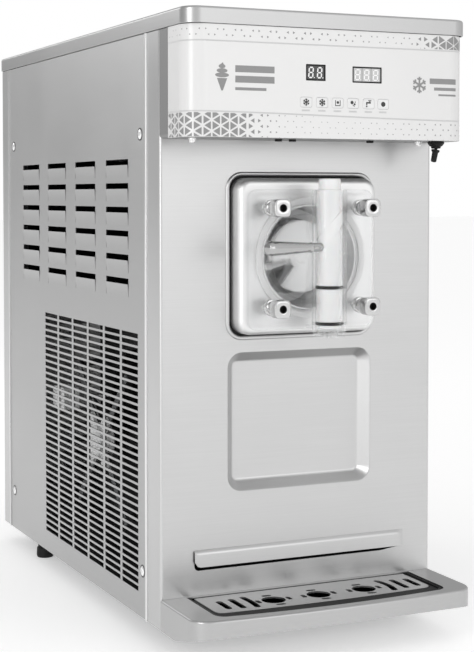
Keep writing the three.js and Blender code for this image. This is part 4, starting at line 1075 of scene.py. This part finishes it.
def beater():
    node = span("beater")
    y0, y1 = node.y0 + 12, node.y1 - 12
    turns = 1.25
    blades = turned([(0, node.y0, 0), (9, node.y0, 3), (9, node.y1, 1), (0, node.y1, 0)],
                    1, ROUND_CYLINDER, 40)
    for phase in (0, math.pi):
        rings = []
        for i in range(73):
            share = i / 72
            angle = phase + math.tau * turns * share
            y = y0 + (y1 - y0) * share
            corners = filleted([(46, -2.5), (57.2, -2.5, 1.6), (57.2, 2.5, 1.6), (46, 2.5)], 1.2, 3)
            rings.append([(r * math.cos(angle), y + dy, AXIS_Z + r * math.sin(angle))
                          for r, dy in corners])
        blades.skin(rings)
    for share in (0.04, 0.5, 0.96):
        angle = math.tau * turns * share
        y = y0 + (y1 - y0) * share
        turn = Matrix.Rotation(-angle, 3, "Y")
        rings = []
        for x in (-49, -40, -9, 9, 40, 49):
            swell = 5.6 if abs(x) < 20 else 4.4
            rings.append(at_x(rounded(-4, -swell, 4, swell, 1.8, 0, 3), x))
        arm = Shape().skin(rings).moved(
            lambda p, turn=turn, y=y: turn @ Vector(p) + Vector((0, y, AXIS_Z)))
        blades.join(arm)
    notched = []
    for radius, degrees in ((43, range(-128, 189, 4)), (15, (188, 210, 232))):
        angles = [math.radians(t) for t in degrees]
        notched += [(radius * math.cos(a), AXIS_Z + radius * math.sin(a)) for a in angles]
    eased = [(x * 0.985, AXIS_Z + (z - AXIS_Z) * 0.985) for x, z in notched]
    blades.skin([at_y(notched, node.y0 + 6.0), at_y(notched, node.y0 + 2.4),
                 at_y(eased, node.y0 + 1.8)])
    piece("beater_blades", blades, LIT_BEATER_WHITE, "beater", ["beater"])


freezing_cylinder()
face_plate()
door()
star_nozzle()
draw_valve()
hand_screws()
beater()

# ---- Control head ----------------------------------------------------------------------------
HEAD = span("control_overlay")
HEAD_CORNER = 24
CHEEK_FRONT = HEAD.y1
FLAT = HALF - HEAD_CORNER
CORNER_LENGTH = HEAD_CORNER * math.pi / 2
HEAD_REACH = FLAT + CORNER_LENGTH + (CHEEK_FRONT - HEAD.y0 - HEAD_CORNER)


def on_head(s, z, lift):
    """A point on the head's skin, a distance s round it from the middle and lifted off it."""
    side = 1 if s >= 0 else -1
    along = abs(s)
    if along <= FLAT:
        return (s, HEAD.y0 - lift, z)
    centre_y = HEAD.y0 + HEAD_CORNER
    if along <= FLAT + CORNER_LENGTH:
        turn = (along - FLAT) / HEAD_CORNER
        radius = HEAD_CORNER + lift
        return (side * (FLAT + radius * math.sin(turn)), centre_y - radius * math.cos(turn), z)
    return (side * (HALF + lift), centre_y + along - FLAT - CORNER_LENGTH, z)


def head_plan(inset, back):
    radius = HEAD_CORNER - inset
    half = HALF - inset
    y = HEAD.y0 + inset
    return [(half, back), (-half, back), *arc(-half + radius, y + radius, radius, 180, 270, 16),
            *arc(half - radius, y + radius, radius, 270, 360, 16)]


KEYS = [span(f"key_{i}") for i in range(1, 7)]
DISPLAYS = [span("two_digit_display"), span("three_digit_display")]


def windows(grow, depth):
    made = Shape()
    for opening in [*KEYS, *DISPLAYS]:
        radius = 2.5 if opening in KEYS else 0.8
        outline = rounded(opening.x0 - grow, opening.z0 - grow, opening.x1 + grow,
                          opening.z1 + grow, radius, 0, 4)
        made.prism(outline, HEAD.y0 - 2, HEAD.y0 + depth, at_y)
    return made


def head_shell():
    inset = 1.9
    back = -0.4
    top, low = HEAD.z1, HEAD.z0
    wall = 2.5

    plan = head_plan(inset, back)
    step = CHEEK_FRONT + 0.4
    plan = [(HALF, back), (-HALF, back), (-HALF, step), (-HALF + inset, step), *plan[2:],
            (HALF - inset, step), (HALF, step)]
    shell = Shape().prism(plan, low, top)
    hollow = Shape().prism(head_plan(inset + wall, -wall), low + wall, top + 2)
    switch = span("switch_body")
    bush = rod(6.3, low - 2, low + 8, about_z(switch.cx, switch.cy), 32)
    corners = Shape()
    for side in (-1, 1):
        notch = [(side * (HALF - 5), low - 1)]
        notch += [(side * (HALF - 5 + 5 * math.sin(a)), low + 5 - 5 * math.cos(a))
                  for a in (math.radians(9 * i) for i in range(11))]
        notch += [(side * (HALF + 1), low + 5), (side * (HALF + 1), low - 1)]
        corners.prism(notch, step - 0.2, 1, at_y)
    shell = boolean(shell, hollow, bush, windows(0.6, 12), corners)
    piece("head_shell", shell, GREY_PAINT, replaces=["head_housing"])
    fixings_y = -44
    acorns = Shape()
    for x in (-158, 135):
        acorns.join(turned([
            (0, low - 6, 0), (3.4, low - 5.4, 2.4), (3.7, low - 1.6, 0.3), (4.6, low - 1.4, 0.4),
            (4.6, low + 0.2, 0.2), (0, low + 0.2, 0)], 1, about_z(x, fixings_y), 24))
    piece("head_underside_nuts", acorns, SCREW_ZINC)
    plugs = Shape()
    for x in (-51, -33, 69):
        plugs.turn([(0, low - 2.6), (3.9, low - 2.6), (4.4, low - 1.8), (4.4, low + 0.2),
                    (0, low + 0.2)], about_z(x, fixings_y), 24)
    piece("head_underside_plugs", plugs, BLACK_PLASTIC)


def overlay_skin():
    skin_depth = 1.5
    outer = head_plan(0, CHEEK_FRONT)
    inner = head_plan(skin_depth, CHEEK_FRONT)
    band = outer[1:] + outer[:1] + (inner[1:] + inner[:1])[::-1]
    skin = boolean(Shape().prism(band, HEAD.z0, HEAD.z1), windows(0.15, 4))
    piece("printed_overlay", skin, FILM, replaces=["control_overlay"])


INK_LIFT = 0.07
INK_SINK = 0.08
INK_LAYER = 0.008


def stamp(shape, outline, place, lift=INK_LIFT):
    """A thin printed patch on a surface, with its outline in the surface's own coordinates."""
    count = len(outline)
    top = [place(a, b, lift) for a, b in outline]
    low = [place(a, b, -INK_SINK) for a, b in outline]
    faces = [tuple(range(count)), tuple(range(2 * count - 1, count - 1, -1))]
    faces += [(i, i + count, (i + 1) % count + count, (i + 1) % count) for i in range(count)]
    shape.add(top + low, faces)


def stamp_layers(shape, outlines, place):
    """Patches that cross each other, each a hair higher than the one before."""
    for order, outline in enumerate(outlines):
        stamp(shape, outline, place, INK_LIFT + INK_LAYER * order)


def strip(shape, start, end, height, width, steps):
    """A printed line round the head, whose height is a function of its place."""
    rings = []
    for i in range(steps + 1):
        s = start + (end - start) * i / steps
        low, high = height(s) - width / 2, height(s) + width / 2
        rings.append([on_head(s, low, INK_LIFT), on_head(s, high, INK_LIFT),
                      on_head(s, high, -INK_SINK), on_head(s, low, -INK_SINK)])
    shape.skin(rings)


def clipped(outline, low, high):
    """An outline's part between two heights."""
    for limit, keep in ((low, 1), (high, -1)):
        kept = []
        for (x0, z0), (x1, z1) in zip(outline, outline[1:] + outline[:1]):
            inside0, inside1 = keep * (z0 - limit) >= 0, keep * (z1 - limit) >= 0
            if inside0:
                kept.append((x0, z0))
            if inside0 != inside1:
                t = (limit - z0) / (z1 - z0)
                kept.append((x0 + (x1 - x0) * t, limit))
        outline = kept
        if len(outline) < 3:
            return []
    return outline


def area(outline):
    pairs = zip(outline, outline[1:] + outline[:1])
    return abs(sum(a[0] * b[1] - b[0] * a[1] for a, b in pairs)) / 2


UPPER_LINE = 670


def lower_line(s):
    return 593 - 5 * ease(s, -180, 180)


LATTICE = 12.4


def quartered(triangle):
    """The four triangles between a triangle's corners and the middles of its sides."""
    a, b, c = triangle
    ab, bc, ca = [((p[0] + q[0]) / 2, (p[1] + q[1]) / 2) for p, q in ((a, b), (b, c), (c, a))]
    return [(a, ab, ca), (ab, b, bc), (ca, bc, c), (ab, bc, ca)]


def lattice(shape, low, high, share):
    """Triangles on a lattice with upright edges. share says how full each is, by its place."""
    width = LATTICE * math.sqrt(3) / 2
    columns = int(HEAD_REACH / width) + 1
    rows = int(140 / LATTICE)
    for column in range(-columns, columns):
        for row in range(2 * rows):
            z = HEAD.z0 - LATTICE + LATTICE * (row / 2)
            upright, tip = column * width, column * width + width
            if (column + row) % 2:
                upright, tip = tip, upright
            corners = [(upright, z - LATTICE / 2), (upright, z + LATTICE / 2), (tip, z)]
            cx = sum(c[0] for c in corners) / 3
            cz = sum(c[1] for c in corners) / 3
            size = share(cx)
            if size <= 0 or abs(cx) > HEAD_REACH - 3:
                continue
            pieces = [[(cx + (x - cx) * size, cz + (y - cz) * size) for x, y in corners]]
            if size > 0.3 and abs(cx) > FLAT - width:
                for _ in range(2):
                    pieces = [part for whole in pieces for part in quartered(whole)]
            for part in pieces:
                kept = clipped(list(part), low(cx), high(cx))
                if kept and area(kept) > 0.08 and max(abs(p[0]) for p in kept) < HEAD_REACH - 0.5:
                    stamp(shape, kept, on_head)


def overlay_print():
    ink = Shape()
    pale = Shape()
    end = HEAD_REACH - 0.3
    strip(pale, -end, end, lambda s: UPPER_LINE, 1.6, 120)
    strip(pale, -end, end, lower_line, 1.6, 120)
    lower_fill = [(-230, 0.68), (-160, 0.70), (-145, 0.74), (-120, 0.74), (-110, 0.62),
                  (-103, 0.48), (-94, 0.34), (-80, 0.22), (-60, 0.13), (20, 0.11), (120, 0.17),
                  (230, 0.22)]
    upper_fill = [(-230, 0.12), (-120, 0.20), (-40, 0.26), (20, 0.20), (80, 0.15), (104, 0.2),
                  (113, 0.34), (122, 0.46), (133, 0.64), (146, 0.80), (160, 0.88), (230, 0.88)]
    lattice(ink, lambda s: HEAD.z0 + 0.4, lambda s: lower_line(s) - 1.6,
            lambda s: ramp(s, lower_fill))
    lattice(ink, lambda s: UPPER_LINE + 1.6, lambda s: HEAD.z1 - 0.4,
            lambda s: ramp(s, upper_fill))
    piece("overlay_lattice", ink, FILM_INK, even=False)
    piece("overlay_lines", pale, PALE_INK, even=False)


def ellipse(cx, cz, rx, rz, steps=28):
    angles = [math.tau * i / steps for i in range(steps)]
    return [(cx + rx * math.cos(a), cz + rz * math.sin(a)) for a in angles]


def bar(cx, cz, width, height, angle=0.0):
    c, s = math.cos(math.radians(angle)), math.sin(math.radians(angle))
    x1, z1 = width / 2, height / 2
    corners = [(-x1, -z1), (x1, -z1), (x1, z1), (-x1, z1)]
    return [(cx + x * c - z * s, cz + x * s + z * c) for x, z in corners]


def snowflake(cx, cz, reach, width):
    """Three crossed bars with a pair of barbs near each end."""
    made = [bar(cx, cz, 2 * reach, width, 30 + 60 * k) for k in range(3)]
    for k in range(6):
        a = math.radians(30 + 60 * k)
        x, z = cx + 0.62 * reach * math.cos(a), cz + 0.62 * reach * math.sin(a)
        for lean in (-55, 55):
            b = a + math.radians(lean)
            made.append(bar(x + 0.17 * reach * math.cos(b), z + 0.17 * reach * math.sin(b),
                            0.4 * reach, width * 0.8, math.degrees(b)))
    return made


def cone(cx, cz, h):
    """A soft serve cone of height h: a plain wafer under three swirls and a tip."""
    made = [[(cx - 0.20 * h, cz - 0.06 * h), (cx + 0.20 * h, cz - 0.06 * h),
             (cx + 0.03 * h, cz - 0.5 * h), (cx - 0.03 * h, cz - 0.5 * h)]]
    for level, (rx, rz) in enumerate(((0.27, 0.085), (0.21, 0.08), (0.13, 0.075))):
        made.append(ellipse(cx, cz + (0.05 + 0.155 * level) * h, rx * h, rz * h))
    made.append([(cx - 0.07 * h, cz + 0.42 * h), (cx + 0.07 * h, cz + 0.42 * h),
                 (cx + 0.03 * h, cz + 0.5 * h)])
    return made


def emblems():
    """A cone and bars on the left, a snow crystal and bars on the right, and no lettering."""
    ink = Shape()
    flat = [*cone(-138, 631, 31), bar(-98, 640, 48, 7.5), bar(-98, 628.6, 48, 7.5),
            bar(-103, 618, 38, 3.2), *snowflake(114, 629, 9.5, 2.2)]
    stamp_layers(ink, flat, on_head)
    lines = ((128, 165, 634.0, 6.4), (134, 165, 625.0, 3.6), (140, 165, 618.0, 2.2))
    for start, end, z, tall in lines:
        strip(ink, start, end, lambda s, z=z: z, tall, 20)
    piece("overlay_emblems", ink, FILM_INK, even=False)


def segment_digit(shape, cx, cz, width, height, thick, place):
    """Seven bars of a digit, which leans to the right, and its point."""
    lean = 0.08
    half_w, half_h = width / 2, height / 2
    gap = thick * 0.25

    def lay(ax, az, bx, bz):
        along = Vector((bx - ax, bz - az)).normalized()
        across = Vector((-along.y, along.x)) * (thick / 2)
        a, b = Vector((ax, az)) + along * gap, Vector((bx, bz)) - along * gap
        inner_a, inner_b = a + along * thick / 2, b - along * thick / 2
        ring = [a, inner_a - across, inner_b - across, b, inner_b + across, inner_a + across]
        stamp(shape, [(cx + p.x + lean * p.y, cz + p.y) for p in ring], place)

    for level in (-1, 0, 1):
        lay(-half_w, level * half_h, half_w, level * half_h)
    for side in (-1, 1):
        lay(side * half_w, -half_h, side * half_w, 0)
        lay(side * half_w, 0, side * half_w, half_h)
    stamp(shape, circle(cx + half_w + thick * 1.1, cz - half_h, thick * 0.45, 12), place)


def displays():
    names = ("two_digit", "three_digit")
    for name, node, digits in zip(names, DISPLAYS, (2, 3)):
        dark = digits == 2
        face_y = node.y0 + 0.35
        frame_width = 1.5

        def outline(inset, node=node):
            return rounded(node.x0, node.z0, node.x1, node.z1, 0.7, inset, 3)

        surround = stack(outline, ((0, node.y1), (0, node.y0 + 0.2), (0.25, node.y0),
                                   (frame_width, node.y0), (frame_width, node.y1)), at_y, True)
        piece(f"{name}_surround", surround, BLACK_PLASTIC, replaces=[f"{name}_display"])
        window = Shape().prism(outline(frame_width), face_y, node.y1 - 0.2, at_y)
        piece(f"{name}_window", window, DARK_GLASS if dark else LIGHT_GLASS)

        def on_window(x, z, lift, face_y=face_y):
            return (x, face_y - lift, z)

        lit = Shape()
        shade = Shape()
        pitch = (node.x1 - node.x0 - 2 * frame_width) / digits
        height = (node.z1 - node.z0) * 0.62
        for k in range(digits):
            cx = node.x0 + frame_width + pitch * (k + 0.5) - 0.4
            if not dark:
                field = rounded(cx - pitch * 0.41, node.cz - height * 0.68, cx + pitch * 0.41,
                                node.cz + height * 0.68, 0.5, 0, 2)
                stamp(shade, field, on_window, 0.03)
            segment_digit(lit, cx, node.cz, pitch * 0.46, height, 1.5 if dark else 1.3, on_window)
        piece(f"{name}_segments", lit, LIT, even=False)
        if not dark:
            piece(f"{name}_fields", shade, PALE_INK, even=False)


def key_icons():
    """Plain pictograms: two crystals, a tank, drops, a tap and a disc."""
    def tank(x, z):
        return [bar(x - 3, z, 0.9, 6.4), bar(x + 3, z, 0.9, 6.4), bar(x, z - 3, 6.6, 0.9),
                circle(x, z + 0.6, 1.6, 20)]

    def drops(x, z):
        return [circle(x - 1.6, z + 1.0, 2.0, 20), circle(x + 1.8, z - 0.9, 1.2, 16),
                circle(x + 2.6, z + 1.6, 0.7, 12), bar(x + 0.6, z - 2.6, 3.0, 0.8, -30)]

    def tap(x, z):
        return [bar(x - 0.4, z + 1.2, 6.2, 1.7), bar(x + 1.4, z + 2.8, 1.2, 2.2),
                bar(x + 1.4, z + 3.6, 4.0, 1.0), bar(x - 2.7, z - 0.4, 1.5, 2.4),
                circle(x - 2.7, z - 2.9, 0.9, 14)]

    def crystal(x, z):
        return snowflake(x, z, 4.0, 1.25)

    def disc(x, z):
        return [circle(x, z, 2.9, 28)]

    return [crystal, crystal, tank, drops, tap, disc]


def keys():
    for i, (node, icon) in enumerate(zip(KEYS, key_icons()), 1):
        def outline(inset, node=node):
            return rounded(node.x0, node.z0, node.x1, node.z1, 2.5, inset, 5)

        levels = [(0.25, node.y1), (0, node.y1 - 0.3), (0, node.y0 + 0.55), (0.25, node.y0 + 0.15),
                  (0.8, node.y0), (1.3, node.y0 + 0.05), (1.7, node.y0 + 0.28), (2.1, node.y0 + 0.10)]
        cap = stack(outline, levels, at_y)
        piece(f"key_{i}_cap", cap, KEY_FILM, f"key_{i}", [f"key_{i}"])

        def on_key(x, z, lift, node=node):
            return (x, node.y0 + 0.10 - lift, z)

        print_shape = Shape()
        stamp_layers(print_shape, icon(node.cx, node.cz), on_key)
        piece(f"key_{i}_icon", print_shape, BLACK_INK, f"key_{i}", even=False)
    labels = Shape()
    for node, width in zip(KEYS, (10.2, 9.4, 9.8, 10.2, 9.6, 9.8)):
        stamp(labels, bar(node.cx - 0.4, node.z0 - 3.6, width, 1.9), on_head)
    piece("key_label_bars", labels, PALE_INK, even=False)


def power_switch():
    body = span("switch_body")
    low = body.z0
    face = HEAD.z0 - 0.4
    cx, cy = body.cx, body.cy
    socket = [(0, low + 3.2, 0), (3.0, low + 3.2, 0.4), (3.0, low, 0.2)]
    skirt = [(5.4, low, 0.8), (6.2, low + 2.4, 0.6), (7.6, low + 3.0, 0.6), (9.4, low + 5.2, 1.0),
             (10, low + 6.2, 0.5), (10, face, 0.4), (5.9, face, 0)]
    inside = [(5.9, HEAD.z0 + 6, 0), (10.6, HEAD.z0 + 6, 0.5), (10.6, HEAD.z0 + 25.8, 1),
              (0, HEAD.z0 + 25.8, 0)]
    boot = turned(socket + skirt + inside, 0.5, about_z(cx, cy), 40)
    piece("switch_housing", boot, BLACK_PLASTIC, replaces=["switch_body"])
    tilt = Matrix.Rotation(math.radians(12), 3, "Y")
    pivot = Vector((cx, cy, low))

    def on_lever(a, b, h):
        return tuple(pivot + tilt @ Vector((a, b, h)))

    grip = [(0, -16.4, 0), (3.3, -16.4, 1.6), (3.5, -10, 3), (3.6, -4.6, 0.6), (4.9, -3.6, 0.6),
            (5.0, -1.6, 0.3)]
    neck = [(1.7, -1.6, 0.2), (1.7, -0.8, 0.4), (2.3, 0.3, 0.9), (1.6, 1.7, 0.8), (0, 2.1, 0)]
    made = turned(grip + neck, 0.5, on_lever, 36)
    piece("switch_boot", made, RUBBER, "switch_lever", ["switch_lever"])


head_shell()
overlay_skin()
overlay_print()
emblems()
displays()
keys()
power_switch()

# ---- Drip station ----------------------------------------------------------------------------
TRAY = span("drip_tray")
PAN = span("drip_pan")
GRID = span("drip_grid")


def bowed(half, back, side, middle, corner, steps=24):
    """A plan that is straight at the back and bows forward, from its sides to its middle."""
    def front(x):
        return middle + (side - middle) * (x / half) ** 2

    corner_x = half - corner
    corner_y = front(corner_x) + corner
    return [
        (half, back), (-half, back), *arc(-corner_x, corner_y, corner, 180, 270, 12),
        *[(x, front(x)) for x in (corner_x * (-1 + 2 * (i + 1) / steps) for i in range(steps - 1))],
        *arc(corner_x, corner_y, corner, 270, 360, 12),
    ]


def drip_tray():
    back = TRAY.y1

    def plan(inset):
        return bowed(HALF - inset, back, -104 + inset, TRAY.y0 + inset, 25 - inset)

    wedge = filleted([(back + 1, 0), (-44, 0, 22), (TRAY.y0 - 3, 17.3),
                      (TRAY.y0 - 3, TRAY.z1 + 1), (back + 1, TRAY.z1 + 1)], 0, 8)
    sides = Shape().prism(wedge, -HALF - 2, HALF + 2, at_x)
    slab = stack(plan, rounded_ends(-1, TRAY.z1, 0, 2.6, 6), at_z)
    body = boolean(slab, sides, operation="INTERSECT")
    pocket = Shape().prism(bowed(148.5, -2.5, -92, -101, 14), TRAY.z1 - 12, TRAY.z1 + 2)
    deep = Shape().prism(bowed(140.5, -6.5, -80, -84, 14), 15, TRAY.z1)
    shelf = boolean(body, pocket, deep)
    piece("drip_shelf", shelf, BRUSHED_TRAY_SHADED, replaces=["drip_tray"], angle=28)


def drip_pan():
    half, back, side, middle, corner = PAN.x1, PAN.y1, -91.6, PAN.y0, 13.6
    top = PAN.z1

    def rim(inset):
        return bowed(half - inset, back - inset, side + inset, middle + inset,
                     corner - inset * 0.6)

    levels = [(0, 23.7), (0, top - 1.6), (0.4, top - 0.6), (1.4, top), (3.2, top),
              (4.2, top - 0.5), (4.8, top - 1.3)]
    outer = [at_z(rim(inset), z) for inset, z in levels]
    seat = bowed(140.5, -3.5, -71.5, -76.5, 10.5)
    hollow = bowed(136.5, -10.5, -68, -72, 10)
    lower = Shape().prism(bowed(140, -7, -79.6, -83.6, 13.6), 23.8, 15.4)
    shell = boolean(Shape().skin([*outer, at_z(seat, top - 1.3)]), lower, operation="UNION")
    shell = boolean(shell, Shape().prism(seat, top - 3, top + 2),
                    Shape().prism(hollow, 17.4, top - 2))
    piece("drip_pan_moulding", shell, PAN_PLASTIC, "drip_pan", ["drip_pan"],
          angle=28)


def drip_grid():
    half, back, middle, side = GRID.x1, GRID.y1, GRID.y0, -71
    well_y, well, petal = -47, 14.2, 19.6

    def plan(inset):
        return bowed(half - inset, back - inset, side + inset, middle + inset, 10 - inset)

    low, high = GRID.z0 - 2, GRID.z1 + 2
    holes = Shape()
    for x in (-58, 0.5, 61):
        holes.prism(circle(x, well_y, well, 48), low, high)
        for angle in (0, 90, 180, 270):
            ux, uy = math.cos(math.radians(angle)), math.sin(math.radians(angle))
            cx, cy = x + ux * petal, well_y + uy * petal
            ends = (cx - uy * 3.4, cy + ux * 3.4, cx + uy * 3.4, cy - ux * 3.4)
            holes.prism(slot(*ends, 2.8), low, high)
    long_slots = ((-119.5, 14, 0), (-103, 17, 0), (-86, 20, 1.2), (94, 21, 3), (111, 17, 0),
                  (128.5, 14, 0))
    for x, reach, bow in long_slots:
        middle_y = well_y + 3
        path = [(x + bow * math.cos(math.pi / 2 * t) - bow / 2, middle_y + reach * t)
                for t in (-1 + k / 5 for k in range(11))]
        left = [tuple(p) for p in offset(path, 3.9)]
        right = [tuple(p) for p in offset(path, -3.9)]
        first = arc(path[0][0], path[0][1], 3.9, 180, 360, 8)[1:-1]
        last = arc(path[-1][0], path[-1][1], 3.9, 0, 180, 8)[1:-1]
        holes.prism(right + last + left[::-1] + first, low, high)
    plate = boolean(stack(plan, rounded_ends(GRID.z0, GRID.z1, 0.2, 0.6, 3), at_z), holes)
    piece("drip_grid_plate", plate, BRUSHED_TRAY_SHADED, "drip_grid", ["drip_grid"], angle=28)


drip_tray()
drip_pan()
drip_grid()

# ---- Hopper cover ----------------------------------------------------------------------------
def hopper_cover():
    node = span("hopper_cover")
    low = node.z0 + 10

    def plan(inset):
        return rounded(node.x0, node.y0, node.x1, node.y1, 31, inset, 10)

    levels = [(0.4, low), (0, low + 0.5), (0, low + 2.6), (0.5, low + 3.6), (1.5, low + 4),
              (16, low + 4), (18, low + 4.6), (19.6, low + 6.6), (21.5, low + 7.8), (24, low + 8)]
    lid = stack(plan, levels, at_z)
    lip_levels = ((10, low + 1), (10, node.z0), (13, node.z0), (13, low + 1))
    lip = stack(plan, lip_levels, at_z, closed=True)
    section = rounded(-7.5, -4.5, 7.5, 4.5, 3.5, 0, 5)
    path = [(-47, low + 5), (-47, low + 14), (-44, low + 18.2), (-38, low + 19.2), (38, low + 19.2),
            (44, low + 18.2), (47, low + 14), (47, low + 5)]
    path = filleted([(x, z, 7) for x, z in path], 7, 5, closed=False)
    rings = []
    for i, (x, z) in enumerate(path):
        ahead = Vector(path[min(i + 1, len(path) - 1)]) - Vector(path[max(i - 1, 0)])
        normal = Vector((-ahead.y, ahead.x)).normalized()
        rings.append([(x + normal.x * b, node.cy + a, z + normal.y * b) for a, b in section])
    grip = Shape().skin(rings)
    lid.join(lip, grip)
    piece("hopper_lid", lid, BLACK_PLASTIC, "hopper_cover", ["hopper_cover"])


def gland():
    node = span("power_gland")
    made = turned([
        (0, node.y0, 0), (7, node.y0, 1), (8.6, node.y0 + 4, 0.5), (8.6, DEPTH + 0.1, 0),
        (11, DEPTH + 0.1, 0), (11, node.y1, 0.8), (6.5, node.y1, 0.6), (5.5, node.y1 - 3, 0.5),
        (0, node.y1 - 3, 0)], 0.5, about_y(node.cx, node.cz), 40)
    piece("lead_gland", made, BLACK_PLASTIC, replaces=["power_gland"])


hopper_cover()
gland()

# ---- What shows through the grilles ----------------------------------------------------------
def condenser():
    node = span("condenser")
    fan = span("fan_motor")
    mouth = 116
    core0, core1 = node.x0 + 5, node.x1 - 1
    fins = Shape()
    pitch = 3.4
    count = int((node.y1 - node.y0 - 12) / pitch)
    for i in range(count + 1):
        y = node.y0 + 6 + i * pitch
        fins.join(box(core0, core1, y, y + 0.35, node.z0 + 3, node.z1 - 3))
    piece("condenser_fins", fins, BLACK_PAINT, even=False)

    outline = rounded(node.y0, node.z0, node.y1, node.z1, 3, 0, 4)
    plate = Shape().prism(outline, node.x0, node.x0 + 1.4, at_x)
    round_fan = about_x(fan.cy, fan.cz)
    shroud = boolean(plate, rod(mouth, node.x0 - 2, node.x0 + 4, round_fan, 72))
    lip = [(mouth - 0.2, node.x0), (mouth + 3, node.x0), (mouth + 1.2, node.x0 + 3.5),
           (mouth - 0.2, node.x0 + 3.5)]
    shroud.join(hoop(lip, 0.4, round_fan, 72))
    for z0, z1 in ((node.z0, node.z0 + 2), (node.z1 - 2, node.z1)):
        shroud.join(box(node.x0, node.x1, node.y0, node.y1, z0, z1))
    for y0, y1 in ((node.y0, node.y0 + 1.5), (node.y1 - 1.5, node.y1)):
        shroud.join(box(node.x0, node.x1, y0, y1, node.z0 + 2, node.z1 - 2))
    piece("condenser_shroud", shroud, BLACK_PAINT, replaces=["condenser"])


def fan_motor():
    node = span("fan_motor")
    cy, cz, x = node.cy, node.cz, node.x0
    made = turned([
        (0, x, 0), (7, x, 1), (8, x + 2, 1), (17, x + 2.4, 2), (23.4, x + 5, 2),
        (23.4, x + 12, 0.6), (24, x + 12.6, 0.5), (24, x + 17, 0.5), (23.4, x + 17.6, 0.6),
        (23.4, x + 25, 2), (17, x + 29, 2), (3, x + 29.6, 1), (0, x + 29.6, 0)],
        1, about_x(cy, cz), 56)
    reach = 134
    arm_outline = filleted([
        (x + 14.5, 20), (x + 14.5, reach, 3), (node.x1, reach, 0), (node.x1, reach - 2, 0),
        (x + 16.5, reach - 2, 2), (x + 16.5, 20)], 0.3, 4)
    arm = Shape().skin([[(a, side, up) for a, up in arm_outline] for side in (-5.5, 5.5)])
    lug = rod(4.2, x + 9, x + 14.6, about_x(0, 30), 20)
    foot = box(x + 9.5, x + 14.4, -7, 7, 20, 43)
    nut = rod(4.6, x + 6.5, x + 9.6, about_x(0, 37), 6)
    bracket = Shape()
    for angle in (45, 135, 225, 315):
        turn = Matrix.Rotation(math.radians(angle), 3, "X")

        def put(p, turn=turn):
            return turn @ Vector(p) + Vector((0, cy, cz))

        made.join(lug.moved(put), foot.moved(put), nut.moved(put))
        bracket.join(arm.moved(put))
    piece("fan_motor_case", made, BRIGHT_ALUMINIUM, replaces=["fan_motor"])
    piece("fan_bracket", bracket, SHADED_ZINC)


def terminal_box():
    """The small box of wire joints that shows behind the grille, on an arm from the condenser."""
    y0, y1, z0, z1 = 388, 432, 203, 234
    levels = ((-146, 0.4), (-146.6, 0), (-168, 0), (-169, 1))
    case = Shape().skin([at_x(rounded(y0, z0, y1, z1, 3, inset, 3), x) for x, inset in levels])
    for z in (210, 218.5, 227):
        case.join(box(-171.5, -168.8, y0 + 4, y1 - 4, z - 1.6, z + 1.6))
    arm = box(-146.2, span("condenser").x0 + 0.2, y0 + 16, y0 + 30, 217, 219)
    piece("terminal_box", case.join(arm), BRIGHT_ALUMINIUM)


def fan_wheel():
    node = span("fan_blade")
    axis = span("fan_motor")
    x0, x1 = node.x0 + 1.8, node.x1 - 1.8
    middle = (x0 + x1) / 2
    tip = 104
    wheel = turned([(0, x0, 0), (17, x0, 4), (17, x1, 1), (0, x1, 0)],
                   1, about_x(axis.cy, axis.cz), 40)
    aerofoil = [(-1, 0), (-0.5, 0.9), (0, 1.1), (0.5, 0.9), (1, 0), (0.5, -0.5), (0, -0.7),
                (-0.5, -0.5)]
    for k in range(5):
        turn = Matrix.Rotation(math.tau * k / 5, 3, "X")
        rings = []
        for i in range(15):
            share = i / 14
            radius = 14 + (tip - 14) * share
            chord = 11 + 19 * ease(share, 0, 0.6) - 9 * ease(share, 0.8, 1.0)
            pitch = math.radians(36 - 16 * share)
            ring = []
            for along, thick in aerofoil:
                a = along * chord
                camber = 2.4 * (1 - along * along)
                rise = thick + camber
                sweep = 8 * share * share
                ring.append((middle + a * math.sin(pitch) + rise * math.cos(pitch),
                             a * math.cos(pitch) - rise * math.sin(pitch) + sweep, radius))
            rings.append(ring)

        def put(p, turn=turn):
            return turn @ Vector(p) + Vector((0, axis.cy, axis.cz))

        wheel.join(Shape().skin(rings).moved(put))
    piece("fan_wheel", wheel, BLACK_PLASTIC, "fan_blade", ["fan_blade"])


condenser()
fan_motor()
terminal_box()
fan_wheel()
